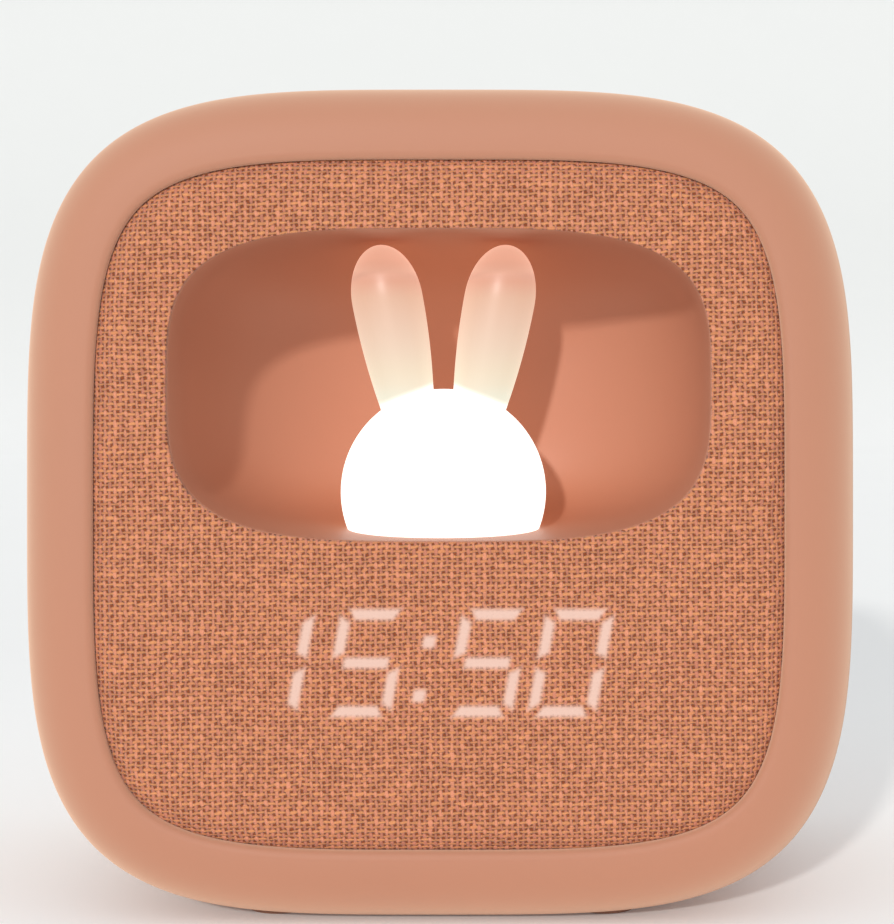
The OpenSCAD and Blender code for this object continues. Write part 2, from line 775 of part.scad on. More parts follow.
module display_leds() {
    led = 0.8;
    back = frame_back + seat;
    spots = concat(
        [for (outline = all_bars(0)) (outline[0] + outline[2]) / 2],
        colon_spots()
    );
    color("#FFF2B0") for (p = spots) block([1.5 * led, led], back - led, back, p[0], p[1]);
}

module display_screws() {
    color("silver") for (p = display_posts)
        screw(small_shank_r, small_head_r, small_head_t, display_board_back, frame_back - display_screw_l, p);
}

module main_board() {
    color("#2F6B45") difference() {
        block([2 * board_half_w, board_high - board_low], board_front, board_back,
            0, (board_low + board_high) / 2);
        for (p = board_posts) rod(small_hole_r, board_front - 1, board_back + 1, p[0], p[1]);
    }
}

module board_screws() {
    color("silver") for (p = board_posts)
        screw(small_shank_r, small_head_r, small_head_t, board_front, board_back + board_screw_l, p);
}

module chip(spec) {
    block([spec[0], spec[1]], board_front - spec[2], board_front, spec[3], socket_z + spec[4]);
}

module controller_chip() {
    color("#2B2B2D") chip(controller_spec);
}

module board_chips() {
    color("#2B2B2D") for (spec = chip_specs) chip(spec);
}

module clock_crystal() {
    color("silver") translate([crystal_at[0], at(board_front - crystal_r - seat), socket_z + crystal_at[1]])
        cylinder(r = crystal_r, h = crystal_l, $fn = 32);
}

module lead_sockets() {
    color("#F2EFE8") for (p = lead_socket_at)
        block([socket_size[0], socket_size[1]], board_front - socket_size[2], board_front,
            p[0], board_low + p[1]);
}

module switch_bodies() {
    color("#2B2B2D") for (x = button_x) difference() {
        block([switch_w, switch_w], board_back, board_back + switch_h, x, button_z);
        rod(plunger_r + run, board_back + switch_h - plunger_in - button_travel - 2 * clear,
            board_back + switch_h + 1, x, button_z);
    }
}

module plunger(i) {
    color("#E9E4DA") rod(plunger_r, board_back + switch_h - plunger_in, plunger_top, button_x[i], button_z);
}
module plunger_time() { plunger(0); }
module plunger_alarm() { plunger(1); }
module plunger_light() { plunger(2); }
module plunger_plus() { plunger(3); }
module plunger_minus() { plunger(4); }

// A push button turned in one piece: crown, flange that keeps it in, and stem
module push_button(i) {
    top = cover_back + button_stand;
    edge = 0.4;
    color("#E3A68C") turned([
        [0, plunger_top], [stem_r, plunger_top], [stem_r, button_flange_front],
        [flange_r, button_flange_front], [flange_r, button_flange_back],
        [button_r, button_flange_back], [button_r, top - edge], [button_r - edge, top], [0, top]
    ], button_x[i], button_z);
}
module button_time() { push_button(0); }
module button_alarm() { push_button(1); }
module button_light() { push_button(2); }
module button_plus() { push_button(3); }
module button_minus() { push_button(4); }

module slide_switch() {
    color("#2B2B2D") difference() {
        block(slide_body, board_back, board_back + slide_body_h, slide_x, socket_z);
        block([knob_stem + slide_travel + 2 * clear, knob_stem + 2 * clear],
            board_back + slide_body_h - 1.6, board_back + slide_body_h + 1, slide_x, socket_z);
    }
}

module slide_knob() {
    x = slide_x - slide_travel / 2;
    color("#E3A68C") union() {
        block([knob_stem, knob_stem], board_back + slide_body_h - 1.2, cover_front - clear, x, socket_z);
        block(knob_plate, cover_front - clear - knob_plate_t, cover_front - clear, x, socket_z);
        block([knob_w, knob_h], cover_front - clear, cover_back + button_stand, x, socket_z);
    }
}

module usb_socket() {
    shell_t = 0.3;
    color("silver") difference() {
        stadium(usb_w, usb_h, board_back, cover_back - 1, usb_x, socket_z);
        stadium(usb_w - 2 * shell_t, usb_h - 2 * shell_t, board_back + 3, cover_back, usb_x, socket_z);
    }
    color("#2B2B2D") block([6.6, 0.7], board_back + 3, cover_back - 1.8, usb_x, socket_z);
}

module speaker_basket() {
    hole_r = 4;
    mouth_r = speaker_mouth_r - 1;
    color("#4A4A4C") difference() {
        turned([
            [magnet_r, basket_front], [mouth_r, basket_rim_front], [speaker_r, basket_rim_front],
            [speaker_r, basket_back], [mouth_r - basket_wall, basket_back],
            [magnet_r - basket_wall, basket_front + basket_wall],
            [hole_r, basket_front + basket_wall], [hole_r, basket_front]
        ], 0, speaker_z);
        for (p = speaker_screw_spots()) rod(small_hole_r, basket_rim_front - 1, basket_back + 1, p[0], p[1]);
    }
}

module speaker_magnet() {
    color("#77777A") rod(magnet_r, basket_front - seat - magnet_t, basket_front - seat, 0, speaker_z);
}

module speaker_cone() {
    cap_r = 4.5;
    color("#3A3A3A") turned([
        [0, cone_front], [cap_r, cone_front],
        [cone_r, basket_back - seat - cone_t], [cone_r, basket_back - seat],
        [cap_r, cone_front + cone_t], [0, cone_front + cone_t]
    ], 0, speaker_z);
}

module speaker_gasket() {
    color("#2B2B2D") difference() {
        turned([
            [speaker_mouth_r, gasket_front], [speaker_r, gasket_front],
            [speaker_r, gasket_front + gasket_t], [speaker_mouth_r, gasket_front + gasket_t]
        ], 0, speaker_z);
        for (p = speaker_screw_spots())
            rod(small_hole_r, gasket_front - 1, gasket_front + gasket_t + 1, p[0], p[1]);
    }
}

module speaker_screws() {
    color("silver") for (p = speaker_screw_spots())
        screw(small_shank_r, small_head_r, small_head_t, basket_rim_front, cover_front, p);
}

module battery_cradle() {
    top = cell_z - cell_r * 0.2;
    color("#D8D2C8") difference() {
        intersection() {
            translate([-cradle_half_w, at(cell_depth - cradle_half_d), foot_lift])
                cube([2 * cradle_half_w, 2 * cradle_half_d, top - foot_lift]);
            plate(body_outline(body_wall + seat), cell_depth - cradle_half_d, cell_depth + cradle_half_d);
        }
        translate([-cell_l / 2 - clear, at(cell_depth), cell_z])
            rotate([0, 90, 0]) cylinder(r = cell_r + seat, h = cell_l + 2 * clear, $fn = 64);
    }
}

module battery_cell() {
    color("#3E78B8") translate([-cell_l / 2, at(cell_depth), cell_z])
        rotate([0, 90, 0]) cylinder(r = cell_r, h = cell_l, $fn = 64);
}

function lead_socket_face(i) = [
    lead_socket_at[i][0], board_front - socket_size[2] - lead_gap, board_low + lead_socket_at[i][1]
];

module lamp_lead() {
    end = lead_socket_face(1);
    color("#EFEFEF") tube([
        [0, head_depth, lamp_board_z + seat / 2], [0, head_depth, holder_bottom - 1.5],
        [0, head_depth + 6, holder_bottom - 5], [0, head_depth + 20, holder_bottom - 4],
        [end[0] / 2, bowl_end + 2, holder_bottom + 2], [end[0], end[1] - 2 * lead_straight, end[2] - 4],
        [end[0], end[1] - lead_straight, end[2]], end
    ], lamp_lead_r);
}

module display_lead() {
    end = lead_socket_face(3);
    color("#B9B9BC") tube([
        [display_lead_x, display_board_back + lead_gap, display_z],
        [display_lead_x, display_board_back + 2 * lead_straight, display_z],
        [display_lead_x, display_board_back + 14, display_z + 1],
        [display_lead_x, display_board_back + 26, display_z + 6],
        [display_lead_x, bowl_end + 2, display_z + 18], [end[0], end[1] - 2 * lead_straight, end[2] - 4],
        [end[0], end[1] - lead_straight, end[2]], end
    ], ribbon_r);
}

module battery_lead() {
    end = lead_socket_face(2);
    color("#C23B30") tube([
        [cell_l / 2 + lead_gap, cell_depth, cell_z + 2], [cell_l / 2 + 2, cell_depth, cell_z + 2.2],
        [cell_l / 2 + 2.6, cell_depth + 1.5, cell_z + 5], [cell_l / 2 + 2, cell_depth + 6, cell_z + 10],
        [cell_l / 2, cell_depth + 11, cell_z + 15], [cell_l / 2 - 8, end[1] - 20, cell_z + 22],
        [end[0] + 2, end[1] - 3 * lead_straight, end[2] - 6], [end[0], end[1] - lead_straight, end[2]], end
    ], lead_r);
}

module speaker_lead() {
    end = lead_socket_face(0);
    color("#2B2B2D") tube([
        [-magnet_r - lead_gap - lead_r, basket_front - 4, speaker_z + 2],
        [-magnet_r - 6, basket_front - 5, speaker_z + 10],
        [end[0], end[1] - 3 * lead_straight, end[2] - 7], [end[0], end[1] - lead_straight, end[2]], end
    ], lead_r);
}

module panel_screws() {
    color("silver") for (c = corners(panel_screw_inset))
        screw(shank_r, head_screw_r, head_screw_t, ledge_d + ledge_t, panel_front + screw_bite, c);
}

module rear_screws() {
    tip = cover_seat_d - rear_screw_l;
    color("silver") for (c = corners(corner_screw_inset))
        screw(shank_r, head_screw_r, head_screw_t - seat, cover_back - head_screw_t, tip, c);
}

housing();
rear_cover();
front_panel();
fabric_cover();
lamp_niche();
rabbit_shade();
lamp_holder();
lamp_board();
lamp_leds();
holder_screws();
display_frame();
display_segments();
display_board();
display_leds();
display_screws();
main_board();
controller_chip();
board_chips();
clock_crystal();
lead_sockets();
board_screws();
switch_bodies();
button_time();
button_alarm();
button_light();
button_plus();
button_minus();
plunger_time();
plunger_alarm();
plunger_light();
plunger_plus();
plunger_minus();
slide_switch();
slide_knob();
usb_socket();
speaker_basket();
speaker_magnet();
speaker_cone();
speaker_gasket();
speaker_screws();
battery_cradle();
battery_cell();
lamp_lead();
display_lead();
battery_lead();
speaker_lead();
panel_screws();
rear_screws();
rubber_feet();
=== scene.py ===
# %% [markdown]
# # Dressing a night-light alarm clock
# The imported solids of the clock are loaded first. They fix the places and outer sizes, and each new piece is
# laid over the solid that it stands for. Lengths are in millimetres, and become metres when a mesh is made. X
# runs to the right, Y from the front to the back and Z up. A "depth" is counted back from the rim's crest.

# %% Load the solids
import math
import bpy
import numpy as np
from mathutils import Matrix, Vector


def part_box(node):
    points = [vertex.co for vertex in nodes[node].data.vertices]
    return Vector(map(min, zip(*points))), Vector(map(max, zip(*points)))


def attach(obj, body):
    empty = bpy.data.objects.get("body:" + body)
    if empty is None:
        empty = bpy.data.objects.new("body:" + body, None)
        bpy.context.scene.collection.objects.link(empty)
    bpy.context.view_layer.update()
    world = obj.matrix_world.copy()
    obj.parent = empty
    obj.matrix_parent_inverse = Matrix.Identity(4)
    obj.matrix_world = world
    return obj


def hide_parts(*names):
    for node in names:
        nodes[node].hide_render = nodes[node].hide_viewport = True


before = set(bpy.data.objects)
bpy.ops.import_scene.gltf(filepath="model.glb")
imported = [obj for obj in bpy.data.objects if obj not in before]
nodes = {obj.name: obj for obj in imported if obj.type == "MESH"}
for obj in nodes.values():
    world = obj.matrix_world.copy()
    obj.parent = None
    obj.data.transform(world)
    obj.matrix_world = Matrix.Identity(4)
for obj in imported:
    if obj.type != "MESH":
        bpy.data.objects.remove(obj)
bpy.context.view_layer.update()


def solid_box(name):
    """Lowest and highest corner of a solid, in millimetres to two places."""
    low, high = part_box(name)
    return [round(v * 1000, 2) for v in low], [round(v * 1000, 2) for v in high]


body_low, body_high = solid_box("housing")
FRONT = body_low[1]

# %% [markdown]
# ## Camera
# The clock is seen from straight ahead and a little above its middle. A lens shift, and not a tilt, keeps its
# upright sides parallel, which is how a product is usually photographed.

# %% Make the camera
EYE_X, EYE_Z, EYE_AWAY = 12.6, 92.25, 350.0
camera = bpy.data.objects.new("camera", bpy.data.cameras.new("camera"))
camera.location = (EYE_X / 1000, (FRONT - EYE_AWAY) / 1000, EYE_Z / 1000)
camera.rotation_euler = (math.radians(90), 0, 0)
camera.data.lens = 88.56
camera.data.shift_x = -0.0793
camera.data.shift_y = -0.1417
camera.data.clip_start = 0.02
bpy.context.scene.collection.objects.link(camera)
bpy.context.scene.camera = camera
print("camera at", tuple(round(x, 4) for x in camera.location))

# %% [markdown]
# ## Helpers for the meshes
# Almost every piece is a set of rings: a closed outline that is carried along a profile. Spin and Screw could
# make the round ones, but the outline of this clock isn't round, so one function turns any rings into a mesh.
# It closes the ends with a fan of triangles, or joins the last ring to the first, and it turns the faces
# outwards by looking at the sign of the volume.

# %% Rings to a mesh
def loft(name, rings, looped=False, soft_angle=38, uv=None):
    """Mesh over rings[row, column, xyz] in millimetres. looped joins the last ring to the first, and otherwise
    each end gets a middle point. uv[row, column, 2] is put on the faces' corners where it is given."""
    rows, columns = rings.shape[:2]
    points = rings.reshape(-1, 3) / 1000
    row = np.arange(rows if looped else rows - 1)[:, None]
    column = np.arange(columns)[None, :]
    here, over = row * columns, (row + 1) % rows * columns
    side = (column + 1) % columns
    faces = np.stack([here + column, here + side, over + side, over + column], 2).reshape(-1, 4).tolist()
    if not looped:
        points = np.vstack([points, rings[0].mean(0) / 1000, rings[-1].mean(0) / 1000])
        ring = np.arange(columns)
        first = np.stack([np.roll(ring, -1), ring, np.full(columns, rows * columns)], 1)
        last = np.stack([ring, np.roll(ring, -1), np.full(columns, rows * columns + 1)], 1)
        last[:, :2] += (rows - 1) * columns
        faces += first.tolist() + last.tolist()
    corners = np.array([f[:3] for f in faces] + [[f[0], f[2], f[3]] for f in faces if len(f) == 4])
    a, b, c = points[corners[:, 0]], points[corners[:, 1]], points[corners[:, 2]]
    if np.einsum("ij,ij->i", a, np.cross(b, c)).sum() < 0:
        faces = [f[::-1] for f in faces]
    mesh = bpy.data.meshes.new(name)
    mesh.from_pydata(points.tolist(), [], faces)
    if uv is not None:
        flat = np.vstack([uv.reshape(-1, 2), uv[0].mean(0), uv[-1].mean(0)])
        corner = np.zeros(len(mesh.loops), np.int32)
        mesh.loops.foreach_get("vertex_index", corner)
        mesh.uv_layers.new(name="flat").data.foreach_set("uv", flat[corner].astype(np.float32).ravel())
    mesh.shade_smooth()
    mesh.set_sharp_from_angle(angle=math.radians(soft_angle))
    piece = bpy.data.objects.new(name, mesh)
    bpy.context.scene.collection.objects.link(piece)
    return piece


def wear(piece, body, slot, *stands_for):
    """The piece moves with the body and stands for the named solids, which it hides. slot is not used."""
    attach(piece, body)
    if stands_for:
        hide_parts(*stands_for)
    return piece


# %% Outlines and profiles
def oval(a, b, power, inset=0.0, columns=360):
    """Points of the superellipse |x/a|^power + |z/b|^power = 1 at even polar angles, each moved inwards by
    inset along the curve's own normal, so that two insets lie a constant wall apart."""
    angle = np.linspace(0, 2 * np.pi, columns, endpoint=False)
    c, s = np.cos(angle), np.sin(angle)
    reach = (np.abs(c / a) ** power + np.abs(s / b) ** power) ** (-1 / power)
    x, z = reach * c, reach * s
    nx = np.sign(x) * np.abs(x / a) ** (power - 1) / a
    nz = np.sign(z) * np.abs(z / b) ** (power - 1) / b
    n = np.hypot(nx, nz)
    return np.stack([x - inset * nx / n, z - inset * nz / n], 1)


def at_depth(outline, depth, middle=(0.0, 0.0)):
    """A ring in space: the outline round a middle, at one depth."""
    y = np.full(len(outline), FRONT + depth)
    return np.stack([outline[:, 0] + middle[0], y, outline[:, 1] + middle[1]], 1)


def turned(name, profile, middle, columns=96, soft_angle=38, looped=False):
    """A turned piece with its axis along Y. profile is a list of radius and depth."""
    profile = np.array(profile, float)
    angle = np.linspace(0, 2 * np.pi, columns, endpoint=False)
    x = middle[0] + profile[:, :1] * np.cos(angle)
    z = middle[1] + profile[:, :1] * np.sin(angle)
    y = np.repeat(FRONT + profile[:, 1:], columns, 1)
    return loft(name, np.stack([x, y, z], 2), looped, soft_angle)


def about_z(profile, middle, columns=128, tilt=0.0):
    """Rings of a turned piece on an upright axis through middle that leans to the right by tilt. profile is a
    list of radius and height over the middle."""
    profile = np.array(profile, float)
    angle = np.linspace(0, 2 * np.pi, columns, endpoint=False)
    x, y = profile[:, :1] * np.cos(angle), profile[:, :1] * np.sin(angle)
    z = np.repeat(profile[:, 1:], columns, 1)
    c, s = math.cos(tilt), math.sin(tilt)
    return np.stack([x * c + z * s, y, z * c - x * s], 2) + middle


def arc(middle, radii, start, end, steps):
    """Points of a quarter or other part of an oval: middle plus radii times cosine and sine."""
    u = np.radians(np.linspace(start, end, steps))
    return [(middle[0] + radii[0] * math.cos(v), middle[1] + radii[1] * math.sin(v)) for v in u]


print("an outline has", len(oval(1, 1, 2)), "points")

# %% [markdown]
# ## Body shell
# The body is one moulding with a soft rim. Its section is carried round the outline: down the slope to the
# cloth, over the crest, along the side and round the back edge, then back inside at the thickness of the wall.
# A subdivision surface could round a box in this way too, but a formula keeps the crest at its exact depth.

# %% The sizes of the body
BODY_A, BODY_B = body_high[0], (body_high[2] - body_low[2]) / 2
BODY_POWER, MID_Z, DEPTH = 3.86, (body_high[2] + body_low[2]) / 2, body_high[1] - FRONT
RIM_FACE, RIM_CREST, RIM_SLOPE, RIM_ROUND, RIM_POWER = 11.5, 10.0, 0.6, 9.0, 2.3
SLOPE_POWER = 2.5
LIP_W, LIP_H, LIP_DEPTH = 0.9, 1.1, 1.2
REAR_ROUND, REAR_FACE, REAR_LEDGE = 30.0, 15.0, 81.5
WALL = 2.4
LEDGE, LEDGE_DEPTH, LEDGE_T = 3.0, 8.2, 2.0


def body_ring(inset, depth, columns=480):
    return at_depth(oval(BODY_A, BODY_B, BODY_POWER, inset, columns), depth, (0, MID_Z))


def body_section():
    """Inset and depth along the wall: a rounded lip, a slope as a power curve, the crest as a quarter of a
    superellipse, and a quarter oval as the back edge. The inside follows them at the wall's thickness."""
    lip = [(RIM_FACE, LEDGE_DEPTH), (RIM_FACE, 4.0)]
    lip += arc((RIM_FACE - LIP_W, LIP_DEPTH), (LIP_W, -LIP_H), 0, 80, 10)
    v = np.linspace(0.48, 0.02, 16)
    slope = np.stack([RIM_CREST + (RIM_FACE - RIM_CREST) * v, RIM_SLOPE * v ** SLOPE_POWER], 1)
    turn = np.radians(np.linspace(90, 0, 41))
    share = np.stack([np.abs(np.cos(turn)), np.sin(turn)], 1) ** (2 / RIM_POWER)
    crest = (RIM_CREST, RIM_ROUND) * (1 - share)
    side = [(0.0, d) for d in np.linspace(RIM_ROUND, DEPTH - REAR_ROUND, 12)[1:-1]]
    back = arc((REAR_FACE, DEPTH - REAR_ROUND), (-REAR_FACE, REAR_ROUND), 0, 88, 40)
    edge = [(REAR_FACE - 0.1, DEPTH - 0.02), (REAR_FACE - 0.02, DEPTH - 0.15), (REAR_FACE, DEPTH - 0.4)]
    rear_ledge = [(REAR_FACE, REAR_LEDGE), (REAR_FACE + LEDGE, REAR_LEDGE),
                  (REAR_FACE + LEDGE, REAR_LEDGE - LEDGE_T)]
    u = np.radians(np.linspace(60, 0, 7))
    n = np.stack([REAR_ROUND * np.cos(u), -REAR_FACE * np.sin(u)], 1)
    n /= np.linalg.norm(n, axis=1)[:, None]
    inside = np.stack([REAR_FACE * (1 - np.cos(u)), DEPTH - REAR_ROUND + REAR_ROUND * np.sin(u)], 1) + WALL * n
    ledge_back = LEDGE_DEPTH + LEDGE_T
    front = [(WALL, RIM_ROUND + 1), (RIM_FACE - WALL, RIM_SLOPE + WALL), (RIM_FACE - WALL, ledge_back),
             (RIM_FACE + LEDGE, ledge_back), (RIM_FACE + LEDGE, LEDGE_DEPTH)]
    return np.vstack([lip, slope, crest, side, back, edge, rear_ledge, inside, front])


section = body_section()
body_shell = loft("body_shell", np.array([body_ring(*p) for p in section]), looped=True, soft_angle=50)
wear(body_shell, "clock", "body_shell", "housing")
print("body shell:", len(body_shell.data.polygons), "faces")

# %% [markdown]
# ## Cloth front
# A coarse woven cloth is stretched over a panel with a rounded border, like the grille of a loudspeaker. The
# sheet is laid from the edge of the niche outwards, over the flat middle and round the border. Each point also
# gets its place on the flat cloth as a UV, so that the weave follows the cloth round the border.

# %% The sizes of the cloth and the niche
CLOTH_EDGE, CLOTH_FACE, CLOTH_BACK, CLOTH_T = 11.52, 0.2, 8.0, 0.7
CROWN_W, CROWN_ROUND, CROWN_POWER = 4.6, 1.5, 2.2
CROWN_INSET = CLOTH_EDGE + CROWN_W
niche_low, niche_high = solid_box("lamp_niche")
NICHE_FLANGE_W, NICHE_POWER, NICHE_Z = 4.1, 3.53, (niche_high[2] + niche_low[2]) / 2
NICHE_A = niche_high[0] - NICHE_FLANGE_W
NICHE_B = (niche_high[2] - niche_low[2]) / 2 - NICHE_FLANGE_W


def crown(thin, steps):
    """Inset and depth along the rounded border's outer face, or its inner one where thin is the cloth's
    thickness. The border falls with a power of the way from the flat middle."""
    v = np.linspace(0, 1, steps)
    fall = CLOTH_FACE + thin + (CROWN_ROUND - thin) * v ** CROWN_POWER
    return np.stack([CROWN_INSET - (CROWN_W - thin) * v, fall], 1)


def cloth_rings(columns=420):
    """Rings and flat places. Between the niche and the border, each ring is a blend of the two outlines. The
    cut edge at the niche is a little rounded. Round the border, the flat place moves straight outwards by the
    length that is laid."""
    niche = oval(NICHE_A, NICHE_B, NICHE_POWER, 0, columns) + (0, NICHE_Z)
    start = oval(BODY_A, BODY_B, BODY_POWER, CROWN_INSET, columns) + (0, MID_Z)
    outward = oval(BODY_A, BODY_B, BODY_POWER, CROWN_INSET - 1, columns) + (0, MID_Z) - start
    face, flat = [], []
    edge = [(0.0, CLOTH_T), (0.0, 0.3), (0.004, 0.12), (0.012, 0.02)]
    for share, sink in edge + [(s, 0.0) for s in np.linspace(0.03, 1, 14)]:
        line = niche * (1 - share) + start * share
        face.append(at_depth(line, CLOTH_FACE + sink))
        flat.append(line)
    profile = np.vstack([crown(0, 25), [[CLOTH_EDGE, CLOTH_BACK]]])
    length = np.concatenate([[0], np.cumsum(np.hypot(*np.diff(profile, axis=0).T))])
    for (inset, depth), run in list(zip(profile, length))[1:]:
        face.append(body_ring(inset, depth, columns))
        flat.append(start + outward * run)
    for inset, depth in np.vstack([[[CLOTH_EDGE + CLOTH_T, CLOTH_BACK]], crown(CLOTH_T, 9)[::-1]]):
        face.append(body_ring(inset, depth, columns))
        flat.append(flat[-1])
    return np.array(face), np.array(flat), length[-1]


rings, flat, border = cloth_rings()
cloth = loft("cloth_front", rings, looped=True, soft_angle=60, uv=flat / 1000)
wear(cloth, "clock", "woven_cloth", "fabric_cover")
side_a, side_b = BODY_A - CROWN_INSET + border, BODY_B - CROWN_INSET + border
outer = oval(BODY_A, BODY_B, BODY_POWER, CROWN_INSET - border)
hole = oval(NICHE_A, NICHE_B, NICHE_POWER)


def area_of(line):
    x, z = line.T
    return abs(np.sum(x * np.roll(z, -1) - z * np.roll(x, -1))) / 2


cloth_area = (area_of(outer) - area_of(hole)) / 1e6
flat_size = (2 * side_a / 1000, 2 * side_b / 1000)
print("cloth cut:", round(2 * side_a), "by", round(2 * side_b), "mm, area", round(cloth_area * 1e6), "mm2")

# %% [markdown]
# ## Niche
# The niche is a smooth moulded bowl behind the cloth. A straight collar leads into it, and its section is a
# superellipse too, so that it is full at its corners. The floor stays level further back than the top does.

# %% The niche
COLLAR_END, BOWL_DEPTH, BOWL_POWER, FLOOR_POWER, NICHE_WALL = 11.2, 34.0, 2.6, 5.0, 1.6
NICHE_LIP, NICHE_FLANGE_FRONT, NICHE_FLANGE_BACK = 2.0, 4.5, 6.2


def bowl_ring(u, wall, columns=300):
    """Ring of the bowl at the turn u: its depth grows as sin(u)^(2/p), its size shrinks as cos(u)^(2/p), and
    its lower half as (1 - reach^q)^(1/q)."""
    reach, share = math.sin(u) ** (2 / BOWL_POWER), max(math.cos(u), 1e-4) ** (2 / BOWL_POWER)
    low = max(1 - reach ** FLOOR_POWER, 1e-6) ** (1 / FLOOR_POWER)
    upper = oval(NICHE_A * share, NICHE_B * share, NICHE_POWER, -wall, columns)
    lower = oval(NICHE_A * share, NICHE_B * low, NICHE_POWER, -wall, columns)
    line = np.where(upper[:, 1:] < 0, lower, upper)
    return at_depth(line, COLLAR_END + (BOWL_DEPTH + wall) * reach, (0, NICHE_Z))


def niche_ring(wall, depth, columns=300):
    return at_depth(oval(NICHE_A, NICHE_B, NICHE_POWER, -wall, columns), depth, (0, NICHE_Z))


turns = np.radians(np.concatenate([np.linspace(0, 70, 29), np.linspace(72.5, 88, 12)]))
inside = [bowl_ring(u, 0) for u in turns[::-1]]
inside += [niche_ring(0, depth) for depth in np.linspace(COLLAR_END, NICHE_LIP + 0.4, 8)[1:]]
lip = [niche_ring(0.08, NICHE_LIP + 0.15), niche_ring(0.3, NICHE_LIP), niche_ring(NICHE_WALL, NICHE_LIP)]
flange = [niche_ring(NICHE_WALL, NICHE_FLANGE_FRONT), niche_ring(NICHE_FLANGE_W, NICHE_FLANGE_FRONT),
          niche_ring(NICHE_FLANGE_W, NICHE_FLANGE_BACK), niche_ring(NICHE_WALL, NICHE_FLANGE_BACK)]
outside = [bowl_ring(u, NICHE_WALL) for u in turns[::3]]
niche = loft("niche_bowl", np.array(inside + lip + flange + outside), soft_angle=60)
wear(niche, "clock", "niche_plastic", "lamp_niche")
print("niche:", len(niche.data.polygons), "faces")

# %% [markdown]
# ## Rabbit lamp
# The lamp shade is a milky moulding with no face: a round head with two plain ears. Head and ears are turned
# shapes that grow out of one another. The ears swell slowly towards their rounded tips.

# %% The lamp shade
shade_low, shade_high = solid_box("rabbit_shade")
HEAD_R, HEAD_CUT, SHADE_WALL = 16.8, 9.4, 1.6
HEAD_Z, HEAD_DEPTH = shade_low[2] + HEAD_CUT, (shade_low[1] + shade_high[1]) / 2 - FRONT
HEAD_TOP = 1.555  # in radians, just short of a quarter turn: a fan of triangles closes the rest
EAR_SUNK = 2.4
EAR_L, EAR_R, EAR_ROOT, EAR_LEAN, EAR_OFFSET, EAR_TIP = 41.1, 5.8, 4.4, 10.8, 3.2, 1.55


def head_profile():
    """From the inner top down to the cut and back up outside, both as arcs of a circle."""
    inner_r = HEAD_R - SHADE_WALL
    inner_low, outer_low = -math.asin(HEAD_CUT / inner_r), -math.asin(HEAD_CUT / HEAD_R)
    inner = [(inner_r * math.cos(a), inner_r * math.sin(a)) for a in np.linspace(HEAD_TOP, inner_low, 24)]
    outer = [(HEAD_R * math.cos(a), HEAD_R * math.sin(a)) for a in np.linspace(outer_low, HEAD_TOP, 60)]
    return inner + outer


def ear_profile():
    """Radius along the ear's axis: a slow swelling from the root, and half an oval at the tip. The root starts
    inside the head."""
    start, belly = HEAD_R - EAR_SUNK, EAR_L - EAR_R * EAR_TIP
    v = np.linspace(0, 1, 40)
    along = start + (belly - start) * v
    root = EAR_ROOT + (EAR_R - EAR_ROOT) * (1 - (1 - v) ** 2)
    u = np.radians(np.linspace(4, 88, 24))
    tip = np.stack([EAR_R * np.cos(u), belly + (EAR_L - belly) * np.sin(u)], 1)
    return [(0.05, start)] + np.stack([root, along], 1).tolist() + tip.tolist()


def joined(name, parts):
    """One mesh from several closed ones."""
    bpy.ops.object.select_all(action="DESELECT")
    for part in parts:
        part.select_set(True)
    bpy.context.view_layer.objects.active = parts[0]
    bpy.ops.object.join()
    parts[0].name = name
    return parts[0]


head = loft("head", about_z(head_profile(), (0, FRONT + HEAD_DEPTH, HEAD_Z)), soft_angle=60)
ears = []
for side in (-1, 1):
    root = (side * EAR_OFFSET, FRONT + HEAD_DEPTH, HEAD_Z)
    ears.append(loft("ear", about_z(ear_profile(), root, 64, side * math.radians(EAR_LEAN)), soft_angle=60))
rabbit = joined("rabbit_lamp", [head] + ears)
wear(rabbit, "clock", "lamp_shade", "rabbit_shade")
print("rabbit lamp:", len(rabbit.data.polygons), "faces")

# %% [markdown]
# ## Feet, buttons and slide knob
# The small parts behind and below are turned or stacked from rings too. A real button has a soft edge, a
# dished top for the fingertip and a raised mark that can be felt in the dark. A foot stands on a ring, so that
# it doesn't rock. The marks are generic: a dial with hands, a bell, a lamp with rays, plus and minus.

# %% Feet
feet_low, feet_high = solid_box("rubber_feet")
FOOT_R = 5.0
FOOT_X, FOOT_DEPTHS = feet_high[0] - FOOT_R, (feet_low[1] + FOOT_R - FRONT, feet_high[1] - FOOT_R - FRONT)
foot_profile = [(0.05, 0.3), (2.9, 0.3), (3.15, 0.08), (3.3, 0.0), (4.4, 0.0), (4.75, 0.08), (4.95, 0.3),
                (FOOT_R, 0.7), (FOOT_R, 2.6), (0.05, 2.6)]
feet = [
    loft("foot", about_z(foot_profile, (side * FOOT_X, FRONT + depth, 0), 64))
    for side in (-1, 1) for depth in FOOT_DEPTHS
]
rubber = wear(joined("feet", feet), "clock", "foot_rubber", "rubber_feet")
print("feet stand at depths", [round(depth, 2) for depth in FOOT_DEPTHS])

# %% Raised marks
MARK_LOW, MARK_TOP, MARK_EDGE = 84.2, 84.8, 0.08


def raised(outline, middle, low=MARK_LOW, top=MARK_TOP):
    """An outline in X and Z carried between two depths. Its top is smaller by the share MARK_EDGE, over the
    last MARK_EDGE of the height."""
    outline = np.array(outline, float)
    centre = outline.mean(0)
    drawn = centre + (outline - centre) * (1 - MARK_EDGE)
    rows = [at_depth(outline, low, middle), at_depth(outline, top - MARK_EDGE, middle),
            at_depth(drawn, top, middle)]
    return loft("mark", np.array(rows), soft_angle=30)


def bar_outline(width, height, x=0.0, z=0.0):
    return [(x + sx * width / 2, z + sz * height / 2) for sx, sz in ((-1, -1), (1, -1), (1, 1), (-1, 1))]


